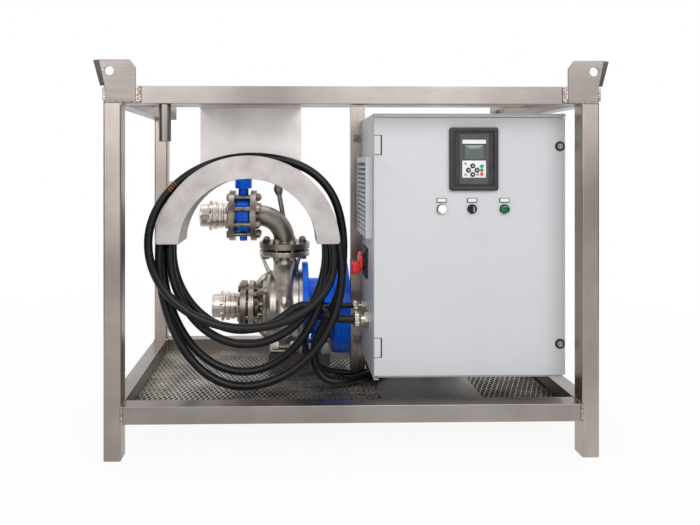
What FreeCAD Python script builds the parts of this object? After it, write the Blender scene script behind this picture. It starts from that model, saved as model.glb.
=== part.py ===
import FreeCAD, Part
import Sketcher
import math
import os
import re

from FreeCAD import Placement, Rotation, Vector

# A stainless centrifugal pump unit in a square-tube lifting frame, with its cabinet and cable saddle.
# Millimetres. Origin at the middle of the footprint, X to the right, Y to the back, Z up.

doc = FreeCAD.newDocument("pump_unit")
sheet = doc.addObject("Spreadsheet::Sheet", "sizes")

SIZES = {
    # lifting frame
    "frame_width": 1410, "frame_depth": 700, "post_tube": 50, "tube_wall": 3,
    "rail_low": 105, "rail_high": 1010,
    "floor_sheet": 5, "bearer_height": 30, "bearer_out": 140, "plate_left": 105, "plate_right": 425,
    "lug_sheet": 6, "lug_rise": 73, "lug_drop": 45, "lug_inner": 93, "lug_rear_inner": 76, "lug_outer": 5,
    "lug_chamfer_wide": 17, "lug_chamfer_high": 23, "lug_hole": 26, "lug_hole_in": 19,
    "lug_hole_up": 42, "lug_lean": 14, "lug_wing": 21, "lug_wing_low": 14, "lug_wing_back": 12,
    "cross_rail_height": 20, "stub_pipe": 33.7, "stub_wall": 2.6, "stub_long": 106,
    "stub_in": 152,
    # cabinet support posts
    "support_wide": 50, "support_deep": 30, "support_left": 35, "support_front": 53,
    # cable saddle
    "saddle_centre": -309, "saddle_height": 578, "saddle_front": -180, "drum_inner": 215,
    "drum_sheet": 4, "drum_deep": 150, "saddle_rim": 288, "saddle_skirt": 12, "hanger_wide": 338,
    "hanger_top": 1026, "rim_corner": 10,
    # cabinet
    "cabinet_left": 73, "cabinet_wide": 580, "cabinet_high": 800, "cabinet_low": 191,
    "cabinet_back": 50, "body_deep": 280, "cabinet_sheet": 2, "door_thick": 18, "door_gap": 2,
    "door_inset": 12, "door_side": 1, "opening_rim": 45, "seal_wide": 12, "hinge_in": 6,
    "hinge_pin": 6, "hinge_tab_wide": 22, "hinge_tab_high": 56, "hinge_tab_drop": 67,
    "ear_size": 28, "ear_sheet": 3, "ear_drop": 48, "ear_rise": 34,
    "inner_plate_sheet": 3, "inner_plate_wide": 500, "inner_plate_high": 700, "stand_off": 15,
    "drive_wide": 220, "drive_high": 380, "drive_deep": 170, "drive_fin": 4,
    # locks, keypad and pilot devices on the door
    "lock_in": 17, "lock_radius": 15, "lock_bezel": 3, "lock_insert": 9, "lock_drop": 98,
    "lock_rise": 106, "lock_slot": 4,
    "keypad_centre": 1078, "keypad_height": 854, "bezel_wide": 146, "bezel_high": 190,
    "bezel_thick": 12, "recess_wide": 119, "recess_high": 163, "recess_deep": 5,
    "panel_wide": 88, "panel_high": 150, "panel_thick": 9, "key_travel": 0.8, "key_proud": 2,
    "key_round": 5.5, "key_small": 4, "key_pitch": 13, "key_drop": 33, "key_clear": 0.3,
    "pilot_height": 704, "button_across": 204, "knob_across": 296, "lamp_across": 394,
    "pilot_radius": 14.5, "pilot_bezel": 5, "pilot_bore": 10.5, "cap_radius": 10.2,
    "cap_proud": 9, "cap_travel": 4, "knob_grip": 14, "lamp_proud": 14,
    "legend_wide": 30, "legend_high": 13, "legend_thick": 2, "legend_up": 26,
    # cabinet side: filter grille, isolator, glands
    "grille_size": 250, "grille_centre": -94, "grille_height": 737, "grille_proud": 20,
    "grille_border": 18, "grille_back": 3, "slat_count": 14, "slat_thick": 3.5, "slat_pitch": 14.8,
    "fan_radius": 95, "fan_hub": 32, "fan_deep": 28, "fan_room": 56, "fan_axle_radius": 4,
    "isolator_wide": 96, "isolator_high": 98, "isolator_thick": 7, "isolator_centre": -70,
    "isolator_gap": 45, "handle_neck": 14, "handle_reach": 36, "handle_long": 66,
    "handle_thick": 18, "handle_hub": 17,
    "gland_big_y": -120, "gland_big_z": 340, "gland_big": 27, "gland_big_long": 48,
    "gland_small_y": -42, "gland_small_z": 366, "gland_small": 17, "gland_small_long": 42,
    # pump
    "pump_y": 180, "pump_z": 315, "outlet_x": -197.5, "plinth_top": 155, "plinth_sheet": 6,
    "plinth_left": -255, "plinth_right": -32, "plinth_wide": 130,
    "flange_radius": 92.5, "flange_thick": 20, "bolt_ring": 145, "bolt_count": 8,
    "face_radius": 61, "face_step": 3, "gasket": 2, "bolt_hole": 18, "bolt_size": 16,
    "bolt_key": 24, "head_high": 10, "nut_high": 13, "bore_radius": 33,
    "pipe_radius": 38.05, "pipe_wall": 2.9, "elbow_bend": 95, "elbow_stub": 3, "line_stub": 8,
    "casing_front": -262, "casing_back": -144, "casing_wall": 7, "casing_radius": 128,
    "cover_radius": 132, "cover_thick": 12, "spiral_start": 96, "spiral_end": 104,
    "throat_small": 20, "throat_big": 40, "neck_radius": 41, "outlet_height": 208,
    "suction_face": -328, "suction_neck": 44, "foot_wide": 104, "foot_deep": 110, "foot_thick": 12,
    "rib_thick": 10,
    "impeller_radius": 82, "impeller_eye": 32, "impeller_hub": 24, "impeller_shroud": 5,
    "impeller_wide": 22, "wheel_half": 15, "vane_count": 6, "vane_thick": 5, "impeller_gap": 3,
    "shaft_radius": 14, "running_fit": 0.05, "seal_radius": 28,
    # lantern and motor
    "lantern_flange": 159.5, "lantern_flange_thick": 21, "lantern_neck": 92, "lantern_mouth": 126,
    "lantern_wall": 9, "disc_radius": 170, "disc_start": -22, "lantern_window": 34,
    "motor_flange": 93, "motor_flange_thick": 15, "motor_radius": 84, "motor_bore": 66,
    "motor_fin": 8, "motor_fin_thick": 3, "motor_fins": 28, "motor_start": 32, "motor_end": 297,
    "cowl_long": 75, "cowl_sheet": 2, "motor_fan": 74, "motor_fan_long": 24,
    "box_long": 110, "box_deep": 110, "box_high": 62, "box_in": 90, "box_gland": 20,
    # couplings, valve and vent
    "suction_neck_run": 26, "suction_ring": 30, "suction_collar": 50, "collar_radius": 44,
    "spigot_radius": 36.5, "ring_radius": 41, "coupling_neck": 37, "ear_out": 50, "ear_wide": 26,
    "ear_long": 22, "upper_neck_run": 32, "upper_ring": 28, "upper_collar": 48,
    "valve_wide": 52, "valve_outer": 62,
    "valve_bore": 32.5, "valve_neck": 31, "valve_neck_low": 19, "valve_neck_top": 152, "valve_top": 40,
    "valve_top_thick": 10, "stem_radius": 7, "disc_plate": 8, "disc_clear": 1.2,
    "lever_long": 175, "lever_wide": 26, "lever_thick": 8, "lever_rise": 22,
    "vent_pipe": 9, "vent_fitting": 17, "vent_flare": 16, "vent_long": 104, "vent_lean": 10,
    "vent_across": -2, "vent_behind": 14, "vent_below": 24,
    # cables
    "supply_cable": 27, "motor_cable": 18, "coil_front": -176, "coil_back": -60,
    "coil_gap": 0.3, "plug_radius": 36, "plug_long": 135,
}

for row, (alias, value) in enumerate(SIZES.items(), start=1):
    sheet.set("A%d" % row, alias)
    sheet.set("B%d" % row, str(value))
    sheet.setAlias("B%d" % row, alias)
doc.recompute()

WORD = re.compile(r"[a-z][a-z_0-9]*")
NODES = []


def rule(text):
    """An expression on the sheet's cells, written with the bare aliases."""
    return WORD.sub(lambda m: "sizes." + m.group(0) if m.group(0) in SIZES else m.group(0), str(text))


def size(text):
    """The present value of a rule, worked out in a scratch cell of the sheet."""
    sheet.set("D1", "=" + str(text))
    sheet.recompute()
    answer = sheet.get("D1")
    return float(getattr(answer, "Value", answer))


def bind(thing, **rules):
    """Binds properties to rules."""
    for name, text in rules.items():
        thing.setExpression(name, rule(text))


def place(thing, at):
    """Binds the position to three rules."""
    for axis, text in zip("xyz", at):
        thing.setExpression("Placement.Base." + axis, rule(text))
    return thing


def box(name, dims, at):
    solid = doc.addObject("Part::Box", name)
    bind(solid, Length=dims[0], Width=dims[1], Height=dims[2])
    return place(solid, at)


TURN = {
    "x": Rotation(Vector(0, 1, 0), 90),
    "-x": Rotation(Vector(0, 1, 0), -90),
    "y": Rotation(Vector(1, 0, 0), -90),
    "-y": Rotation(Vector(1, 0, 0), 90),
    "z": Rotation(),
}


def cylinder(name, radius, length, at, axis="z"):
    solid = doc.addObject("Part::Cylinder", name)
    bind(solid, Radius=radius, Height=length)
    solid.Placement = Placement(Vector(), TURN[axis])
    return place(solid, at)


def cone(name, radius, end_radius, length, at, axis="z"):
    solid = doc.addObject("Part::Cone", name)
    bind(solid, Radius1=radius, Radius2=end_radius, Height=length)
    solid.Placement = Placement(Vector(), TURN[axis])
    return place(solid, at)


def fuse(name, solids):
    whole = doc.addObject("Part::MultiFuse", name)
    whole.Shapes = solids
    return whole


def cut(name, base, tool):
    rest = doc.addObject("Part::Cut", name)
    rest.Base = base
    rest.Tool = tool
    return rest


def group(name, solids):
    """Several separate solids in one node."""
    whole = doc.addObject("Part::Compound", name)
    whole.Links = solids
    return whole


def node(thing):
    """Marks a finished sub-part: its label names its file."""
    thing.Label = thing.Name
    NODES.append(thing)
    return thing


def hollow_box(name, dims, at, walls):
    """A box with a smaller one taken out; a wall of 0 leaves that pair of ends open."""
    outer = box(name + "_outer", dims, at)
    inner_dims = ["%s - 2 * (%s)" % pair for pair in zip(dims, walls)]
    inner_at = ["%s + (%s)" % pair for pair in zip(at, walls)]
    return cut(name, outer, box(name + "_inner", inner_dims, inner_at))


def origin_plane(body, role):
    return [item for item in body.Origin.OriginFeatures if item.Role == role][0]


def outline(body, name, plane, corners, lift="0"):
    """A closed sketch of straight lines whose corners are bound to pairs of rules."""
    sketch = body.newObject("Sketcher::SketchObject", name)
    sketch.AttachmentSupport = [(origin_plane(body, plane), "")]
    sketch.MapMode = "FlatFace"
    if lift != "0":
        sketch.setExpression("AttachmentOffset.Base.z", rule(lift))
    spots = [(size(across), size(up)) for across, up in corners]
    count = len(spots)
    for index, spot in enumerate(spots):
        follower = spots[(index + 1) % count]
        sketch.addGeometry(Part.LineSegment(Vector(*spot, 0), Vector(*follower, 0)))
    for index in range(count):
        sketch.addConstraint(Sketcher.Constraint("Coincident", index, 2, (index + 1) % count, 1))
    for index, (corner, spot) in enumerate(zip(corners, spots)):
        for kind, text, value in zip(("DistanceX", "DistanceY"), corner, spot):
            number = sketch.addConstraint(Sketcher.Constraint(kind, -1, 1, index, 1, value))
            sketch.setExpression("Constraints[%d]" % number, rule(text))
    return sketch


def ring_sketch(body, name, plane, centre, radius, lift="0"):
    """A sketch of one circle."""
    sketch = body.newObject("Sketcher::SketchObject", name)
    sketch.AttachmentSupport = [(origin_plane(body, plane), "")]
    sketch.MapMode = "FlatFace"
    if lift != "0":
        sketch.setExpression("AttachmentOffset.Base.z", rule(lift))
    spot = (size(centre[0]), size(centre[1]))
    sketch.addGeometry(Part.Circle(Vector(*spot, 0), Vector(0, 0, 1), size(radius)))
    for kind, text, value in zip(("DistanceX", "DistanceY"), centre, spot):
        number = sketch.addConstraint(Sketcher.Constraint(kind, -1, 1, 0, 3, value))
        sketch.setExpression("Constraints[%d]" % number, rule(text))
    number = sketch.addConstraint(Sketcher.Constraint("Radius", 0, size(radius)))
    sketch.setExpression("Constraints[%d]" % number, rule(radius))
    return sketch


def pad(body, sketch, length, name):
    feature = body.newObject("PartDesign::Pad", name)
    feature.Profile = sketch
    bind(feature, Length=length)
    body.Tip = feature
    return feature


def padded(name, plane, corners, thick, at):
    """A flat piece: an outline given a thickness along the plane's normal (-Y for XZ)."""
    body = doc.addObject("PartDesign::Body", name)
    pad(body, outline(body, name + "_outline", plane, corners), thick, name + "_pad")
    return place(body, at)


def turned(name, axis, profile, at):
    """A turned piece: pairs of (place along the axis, radius) spun round X, Y or Z."""
    body = doc.addObject("PartDesign::Body", name)
    plane = "XY_Plane" if axis == "y" else "XZ_Plane"
    corners = [pair if axis == "x" else (pair[1], pair[0]) for pair in profile]
    sketch = outline(body, name + "_profile", plane, corners)
    spin = body.newObject("PartDesign::Revolution", name + "_turn")
    spin.Profile = sketch
    spin.ReferenceAxis = (sketch, ["H_Axis" if axis == "x" else "V_Axis"])
    spin.Angle = 360
    body.Tip = spin
    return place(body, at)


def sleeve(outer, inner, start, end):
    """Profile of a plain ring, for turned()."""
    return [(start, inner), (end, inner), (end, outer), (start, outer)]


def ring_of_holes(body, name, plane, circle, radius, count, phase):
    """Drills a circle of holes through a body along its own axis."""
    centre = ("(%s) / 2 * cos(%s)" % (circle, phase), "(%s) / 2 * sin(%s)" % (circle, phase))
    sketch = ring_sketch(body, name + "_spot", plane, centre, radius)
    drill = body.newObject("PartDesign::Pocket", name + "_drill")
    drill.Profile = sketch
    drill.Type = "ThroughAll"
    drill.Midplane = True
    body.Tip = drill
    repeat(body, name + "_repeat", [drill], sketch, count)
    return body


def repeat(body, name, features, sketch, count):
    """Repeats features evenly round the normal of a sketch whose origin is on the axis."""
    pattern = body.newObject("PartDesign::PolarPattern", name)
    pattern.Originals = features
    pattern.Axis = (sketch, ["N_Axis"])
    pattern.Angle = 360
    bind(pattern, Occurrences=count)
    body.Tip = pattern
    return pattern


def hexagon(circle, phase, across):
    """Corners of a hexagon with its middle on a pitch circle."""
    middle = ("(%s) / 2 * cos(%s)" % (circle, phase), "(%s) / 2 * sin(%s)" % (circle, phase))
    reach = "(%s) / sqrt(3)" % across
    return [
        ("%s + %s * cos(%d + %s)" % (middle[0], reach, turn, phase),
         "%s + %s * sin(%d + %s)" % (middle[1], reach, turn, phase))
        for turn in range(0, 360, 60)
    ]


def bolt_ring(name, plane, circle, count, phase, start, grip, at):
    """A ring of hexagon bolts with nuts, clamping from start over grip along the axis."""
    body = doc.addObject("PartDesign::Body", name)
    middle = ("(%s) / 2 * cos(%s)" % (circle, phase), "(%s) / 2 * sin(%s)" % (circle, phase))
    head = outline(body, name + "_head_outline", plane, hexagon(circle, phase, "bolt_key"),
                   "%s - head_high" % start)
    shank = ring_sketch(body, name + "_shank_outline", plane, middle, "bolt_size / 2",
                        "%s - head_high / 2" % start)
    nut = outline(body, name + "_nut_outline", plane, hexagon(circle, phase, "bolt_key"),
                  "%s + %s" % (start, grip))
    features = [
        pad(body, head, "head_high", name + "_head"),
        pad(body, shank, "%s + head_high / 2 + nut_high + 4" % grip, name + "_shank"),
        pad(body, nut, "nut_high", name + "_nut"),
    ]
    repeat(body, name + "_ring", features, shank, count)
    return place(body, at)


# Lifting frame

OUTER = "frame_width / 2"
DEEP = "frame_depth / 2"
TOP = "(rail_high + post_tube)"
FLOOR = "(rail_low + floor_sheet)"


def corner_posts():
    posts = []
    for name, across in (("left", "-%s" % OUTER), ("right", "%s - post_tube" % OUTER)):
        for depth, back in (("front", "-%s" % DEEP), ("rear", "%s - post_tube" % DEEP)):
            posts.append(hollow_box("post_%s_%s" % (name, depth), ("post_tube", "post_tube", TOP),
                                    (across, back, "0"), ("tube_wall", "tube_wall", "tube_wall")))
    return node(group("corner_posts", posts))


def rail_across(name, back, height):
    """A rail along X between two posts."""
    return hollow_box(name, ("frame_width - 2 * post_tube", "post_tube", "post_tube"),
                      ("post_tube - %s" % OUTER, back, height), ("0", "tube_wall", "tube_wall"))


def rail_deep(name, across, height):
    """A rail along Y between two posts."""
    return hollow_box(name, ("post_tube", "frame_depth - 2 * post_tube", "post_tube"),
                      (across, "post_tube - %s" % DEEP, height), ("tube_wall", "0", "tube_wall"))


def rails():
    left = "-%s" % OUTER
    right = "%s - post_tube" % OUTER
    front = "-%s" % DEEP
    node(group("bottom_rails", [
        rail_across("rail_low_front", front, "rail_low"),
        rail_across("rail_low_rear", "%s - post_tube" % DEEP, "rail_low"),
        rail_deep("rail_low_left", left, "rail_low"),
        rail_deep("rail_low_right", right, "rail_low"),
    ]))
    stub = turned("tube_stub", "z", sleeve("stub_pipe / 2", "stub_pipe / 2 - stub_wall", "-stub_long", "0"),
                  ("stub_in + stub_pipe / 2 - %s" % OUTER, "post_tube / 2 - %s" % DEEP, "rail_high"))
    node(group("top_rails", [
        rail_across("rail_high_front", front, "rail_high"),
        rail_deep("rail_high_left", left, "rail_high"),
        rail_deep("rail_high_right", right, "rail_high"),
        stub,
    ]))


def floor():
    """Flat bearers under the bottom rails carry a sheet floor in three fields."""
    bearers = []
    places = ("-bearer_out - post_tube", "-post_tube / 2", "bearer_out")
    for number, depth in enumerate(places, start=1):
        bearers.append(hollow_box("bearer_%d" % number, ("frame_width", "post_tube", "bearer_height"),
                                  ("-%s" % OUTER, depth, "rail_low - bearer_height"),
                                  ("0", "tube_wall", "tube_wall")))
    plinth_dims = ("plinth_right - plinth_left", "plinth_wide", "plinth_top - %s" % FLOOR)
    bearers.append(hollow_box("pump_plinth", plinth_dims, ("plinth_left", "pump_y - plinth_wide / 2", FLOOR),
                              ("0", "plinth_sheet", "plinth_sheet")))
    node(group("floor_bearers", bearers))
    inside = "(%s - post_tube)" % OUTER
    deep = "frame_depth - 2 * post_tube"
    front = "post_tube - %s" % DEEP
    left_field = box("floor_left", ("plate_left + %s" % inside, deep, "floor_sheet"),
                     ("-%s" % inside, front, "rail_low"))
    right_field = box("floor_right", ("%s - plate_right" % inside, deep, "floor_sheet"),
                      ("plate_right", front, "rail_low"))
    node(group("floor_mesh", [left_field, right_field]))
    node(box("floor_plate", ("plate_right - plate_left", deep, "floor_sheet"),
             ("plate_left", front, "rail_low")))


def lug_half(name, side, front):
    """One stacking lug: a drilled plate on the post and rail with a wing leaning outwards."""
    def across(text):
        return "%d * (%s - (%s))" % (-side, OUTER, text)
    inner = "lug_inner" if front else "lug_rear_inner"
    plate = padded(name + "_plate", "XZ_Plane", [
        (across("lug_outer"), "%s - lug_drop" % TOP),
        (across(inner), "%s - lug_drop" % TOP),
        (across(inner), "%s + lug_rise - lug_chamfer_high" % TOP),
        (across(inner + " - lug_chamfer_wide"), "%s + lug_rise" % TOP),
        (across("lug_outer - lug_lean"), "%s + lug_rise" % TOP),
        (across("lug_outer"), TOP),
    ], "lug_sheet", ("0", "-%s" % DEEP if front else "%s + lug_sheet" % DEEP, "0"))
    hole = cylinder(name + "_hole", "lug_hole / 2", "3 * lug_sheet",
                    (across("lug_hole_in"), "-%s - 2 * lug_sheet" % DEEP if front else "%s - lug_sheet" % DEEP,
                     "%s + lug_hole_up" % TOP), "y")
    drilled = cut(name + "_drilled", plate, hole)
    return fuse(name, [drilled, lug_wing(name + "_wing", side, front)])


def lug_wing(name, side, front):
    """The leaning wing of a lug, bent back from the plate along its slanted edge."""
    post_edge = -side * size(OUTER)
    outer, lean = size("lug_outer"), size("lug_lean")
    face = -size(DEEP) if front else size(DEEP)
    into = 1 if front else -1
    low = size(TOP)
    high = low + size("lug_rise")
    back = into * size("lug_wing_back")
    fold_low = Vector(post_edge + side * outer, face, low)
    fold_high = Vector(post_edge + side * (outer - lean), face, high)
    tip_high = Vector(post_edge + side * (outer - lean - size("lug_wing")), face + back, high)
    tip_low = fold_low + (tip_high - fold_high) * (size("lug_wing_low") / size("lug_wing"))
    sheet_face = Part.Face(Part.makePolygon([fold_low, fold_high, tip_high, tip_low, fold_low]))
    wing = doc.addObject("Part::Feature", name)
    wing.Shape = sheet_face.extrude(Vector(0, -into * size("lug_sheet"), 0))
    return wing


def lugs():
    corners = [(1, True), (-1, True), (1, False), (-1, False)]
    node(group("lifting_lugs", [lug_half("lug_%d" % number, side, front)
                                for number, (side, front) in enumerate(corners, start=1)]))


def supports():
    """Two posts behind the cabinet, tied at the top by a flat cross rail."""
    height = "%s - cross_rail_height - %s" % (TOP, FLOOR)
    right = "%s - post_tube" % OUTER
    left_post = hollow_box("support_left_post", ("support_wide", "support_deep", height),
                           ("support_left", "support_front", FLOOR), ("tube_wall", "tube_wall", "tube_wall"))
    right_post = hollow_box("support_right_post", ("support_wide", "support_deep",
                                                   "rail_high - rail_low - post_tube"),
                            (right, "support_front", "rail_low + post_tube"),
                            ("tube_wall", "tube_wall", "tube_wall"))
    cross_rail = hollow_box("top_cross_rail", ("frame_width - 2 * post_tube", "support_deep",
                                               "cross_rail_height"),
                            ("post_tube - %s" % OUTER, "support_front", "%s - cross_rail_height" % TOP),
                            ("0", "tube_wall", "tube_wall"))
    node(group("support_frame", [left_post, right_post, cross_rail]))


# Cable saddle

def saddle():
    """A half drum with a wide front rim, hanging from the front rail by a folded plate."""
    drum_outer = "(drum_inner + drum_sheet)"
    at = ("saddle_centre", "saddle_front", "saddle_height")
    drum = turned("saddle_drum", "y", sleeve(drum_outer, "drum_inner", "0", "drum_deep"), at)
    rim = turned("saddle_rim_disc", "y", sleeve("saddle_rim", "drum_inner", "-drum_sheet", "0"), at)
    lower = box("saddle_lower", ("4 * saddle_rim", "4 * drum_deep", "2 * saddle_rim"),
                ("saddle_centre - 2 * saddle_rim", "saddle_front - drum_deep",
                 "saddle_height + saddle_skirt - 2 * saddle_rim"))
    half = cut("saddle_half", fuse("saddle_whole", [drum, rim]), lower)
    node(rounded_rim(half))
    plate = saddle_plate()
    node(plate)


def rounded_rim(half):
    """Rounds the two lower outer corners of the rim."""
    doc.recompute()
    arch = doc.addObject("Part::Fillet", "saddle_arch")
    arch.Base = half
    corner = size("saddle_rim")
    low = size("saddle_height + saddle_skirt")
    picks = []
    for number, edge in enumerate(half.Shape.Edges, start=1):
        middle = edge.CenterOfMass
        flat = abs(middle.z - low) < 1 and edge.BoundBox.YLength > edge.BoundBox.XLength
        if flat and abs(abs(middle.x - size("saddle_centre")) - corner) < 5:
            picks.append((number, size("rim_corner"), size("rim_corner")))
    arch.Edges = picks
    return arch


def saddle_plate():
    """The hanging plate stands on the back of the drum and folds forward to the front rail."""
    back = "saddle_front + drum_deep"
    left = "saddle_centre - hanger_wide / 2"
    fold = box("hanger_fold", ("hanger_wide", "%s - (post_tube - %s)" % (back, DEEP), "drum_sheet"),
               (left, "post_tube - %s" % DEEP, "hanger_top"))
    sheet_part = box("hanger_sheet", ("hanger_wide", "drum_sheet", "hanger_top + drum_sheet - saddle_height"),
                     (left, back, "saddle_height"))
    arch_room = cylinder("hanger_room", "drum_inner", "4 * drum_sheet",
                         ("saddle_centre", "%s - drum_sheet" % back, "saddle_height"), "y")
    skirt = cut("hanger_skirt", sheet_part, arch_room)
    return fuse("saddle_plate", [fold, skirt])


corner_posts()
rails()
floor()
lugs()
supports()
saddle()


# Cabinet

CAB_FRONT = "(cabinet_back - body_deep - door_gap - door_thick)"
BODY_FRONT = "(cabinet_back - body_deep)"
CAB_RIGHT = "(cabinet_left + cabinet_wide)"
CAB_TOP = "(cabinet_low + cabinet_high)"
DOOR_LOW = "(cabinet_low + door_inset)"
DOOR_HIGH = "(cabinet_high - 2 * door_inset)"
DOOR_LEFT = "(cabinet_left + door_side)"
DOOR_WIDE = "(cabinet_wide - 2 * door_side)"
KEYPAD_X = "(keypad_centre - frame_width / 2)"
PANEL_FRONT = "(%s - panel_thick)" % CAB_FRONT
KEY_MIDDLE = "(keypad_height - key_drop)"
ISOLATOR_UP = "(grille_height - grille_size / 2 - isolator_gap - isolator_high / 2)"


def on_door(across, height):
    """A place on the door's outer face, from the cabinet's left side and the ground."""
    return ("cabinet_left + (%s)" % across, CAB_FRONT, height)


def bores(name, spots, radius, length, axis, inset):
    """One tool that drills a set of round holes along an axis."""
    pins = []
    for number, spot in enumerate(spots, start=1):
        pins.append(cylinder("%s_%d" % (name, number), radius, length, spot, axis))
        index = "xyz".index(axis.strip("-"))
        start = list(spot)
        start[index] = "(%s) - (%s)" % (spot[index], inset)
        place(pins[-1], start)
    return fuse(name, pins) if len(pins) > 1 else pins[0]


def cabinet_body():
    shell = hollow_box("body_shell", ("cabinet_wide", "body_deep", "cabinet_high"),
                       ("cabinet_left", BODY_FRONT, "cabinet_low"),
                       ("cabinet_sheet", "cabinet_sheet", "cabinet_sheet"))
    opening = box("body_opening", ("cabinet_wide - 2 * opening_rim", "4 * cabinet_sheet",
                                   "cabinet_high - 2 * opening_rim - 2 * door_inset"),
                  ("cabinet_left + opening_rim", "%s - 2 * cabinet_sheet" % BODY_FRONT,
                   "cabinet_low + opening_rim + door_inset"))
    canopy = box("body_canopy", ("cabinet_wide", "door_gap + door_thick", "cabinet_sheet"),
                 ("cabinet_left", CAB_FRONT, "%s - cabinet_sheet" % CAB_TOP))
    ledge = box("body_ledge", ("2 * hinge_in + 2", "door_gap + door_thick", "cabinet_sheet"),
                ("cabinet_left", CAB_FRONT, "cabinet_low"))
    vent = cylinder("body_vent", "fan_radius + 4", "4 * cabinet_sheet",
                    ("cabinet_left - 2 * cabinet_sheet", "grille_centre", "grille_height"), "x")
    entry_big = cylinder("body_entry_big", "gland_big * 0.7", "4 * cabinet_sheet",
                         ("cabinet_left - 2 * cabinet_sheet", "gland_big_y", "gland_big_z"), "x")
    entry_small = cylinder("body_entry_small", "gland_small * 0.7", "4 * cabinet_sheet",
                           ("cabinet_left - 2 * cabinet_sheet", "gland_small_y", "gland_small_z"), "x")
    spindle = cylinder("body_spindle", "handle_neck / 2 + 1", "4 * cabinet_sheet",
                       ("cabinet_left - 2 * cabinet_sheet", "isolator_centre", ISOLATOR_UP), "x")
    holes = fuse("body_holes", [opening, vent, entry_big, entry_small, spindle])
    node(cut("cabinet_body", fuse("body_with_canopy", [shell, canopy, ledge]), holes))


def cabinet_door():
    """A folded tray with its keypad window, pilot holes, lock holes and hinge notches."""
    tray = cut("door_tray",
               box("door_outer", (DOOR_WIDE, "door_thick", DOOR_HIGH), (DOOR_LEFT, CAB_FRONT, DOOR_LOW)),
               box("door_inner", (DOOR_WIDE + " - 2 * cabinet_sheet", "door_thick",
                                  DOOR_HIGH + " - 2 * cabinet_sheet"),
                   (DOOR_LEFT + " + cabinet_sheet", CAB_FRONT + " + cabinet_sheet",
                    DOOR_LOW + " + cabinet_sheet")))
    pilots = [on_door(across, "pilot_height") for across in ("button_across", "knob_across", "lamp_across")]
    pilot_holes = bores("door_pilot_holes", pilots, "pilot_bore + 0.3", "4 * door_thick", "y", "door_thick")
    locks = [on_door("cabinet_wide - lock_in", height)
             for height in (CAB_TOP + " - lock_drop", "cabinet_low + lock_rise")]
    lock_holes = bores("door_lock_holes", locks, "lock_insert + 2", "4 * door_thick", "y", "door_thick")
    window = box("door_window", ("panel_wide + 2", "4 * door_thick", "panel_high + 2"),
                 (KEYPAD_X + " - panel_wide / 2 - 1", CAB_FRONT + " - door_thick",
                  "keypad_height - panel_high / 2 - 1"))
    pins = [("cabinet_left + hinge_in", CAB_FRONT + " + hinge_in", height)
            for height in (DOOR_LOW, DOOR_LOW + " + " + DOOR_HIGH)]
    pin_holes = bores("door_pin_holes", pins, "hinge_pin / 2 + running_fit", "6 * cabinet_sheet", "z",
                      "3 * cabinet_sheet")
    leaves = [box("hinge_leaf_%d" % number, ("hinge_tab_wide", "cabinet_sheet", "hinge_tab_high"),
                  ("cabinet_left + 2", CAB_FRONT + " - cabinet_sheet", height))
              for number, height in enumerate((CAB_TOP + " - hinge_tab_drop - hinge_tab_high",
                                               "cabinet_low + hinge_tab_drop"), start=1)]
    panel = fuse("door_panel", [tray] + leaves)
    node(cut("cabinet_door", panel, fuse("door_holes", [pilot_holes, lock_holes, window, pin_holes])))
    inner = "(door_thick + door_gap - cabinet_sheet)"
    seal_across, seal_high = "(opening_rim - seal_wide)", "(opening_rim + door_inset - seal_wide)"
    outer_seal = box("seal_outer", ("cabinet_wide - 2 * %s" % seal_across, inner,
                                    "cabinet_high - 2 * %s" % seal_high),
                     ("cabinet_left + " + seal_across, CAB_FRONT + " + cabinet_sheet",
                      "cabinet_low + " + seal_high))
    seal_hole = box("seal_hole", ("cabinet_wide - 2 * opening_rim", "2 * " + inner,
                                  "cabinet_high - 2 * opening_rim - 2 * door_inset"),
                    ("cabinet_left + opening_rim", CAB_FRONT, "cabinet_low + opening_rim + door_inset"))
    node(cut("door_seal", outer_seal, seal_hole))


def hinges():
    """Two pins, under the canopy and on a small ledge, that the door's flanges turn on."""
    pins = []
    reach = "door_inset - cabinet_sheet + 6"
    for number, height in enumerate((DOOR_LOW + " + " + DOOR_HIGH + " - 6", "cabinet_low + cabinet_sheet"), start=1):
        pins.append(cylinder("hinge_pin_%d" % number, "hinge_pin / 2", reach,
                             ("cabinet_left + hinge_in", CAB_FRONT + " + hinge_in", height)))
    node(group("door_hinges", pins))


def wall_ears():
    """Four ears hold the cabinet's back to the support posts."""
    ears = []
    for side, across in (("left", "cabinet_left - ear_size"), ("right", CAB_RIGHT)):
        for level, height in (("upper", CAB_TOP + " - ear_drop - ear_size"),
                              ("lower", "cabinet_low + ear_rise - ear_size / 2")):
            name = "ear_%s_%s" % (side, level)
            strap = box(name + "_strap", ("ear_size + 2 * ear_size", "ear_sheet", "ear_size"),
                        (across if side == "left" else CAB_RIGHT + " - 2 * ear_size", "cabinet_back", height))
            middle = (across + " + ear_size / 2", "cabinet_back", height + " + ear_size / 2")
            bolt = cylinder(name + "_bolt", "5", "8", middle, "-y")
            ears.append(fuse(name, [strap, bolt]))
    node(group("wall_ears", ears))


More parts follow.
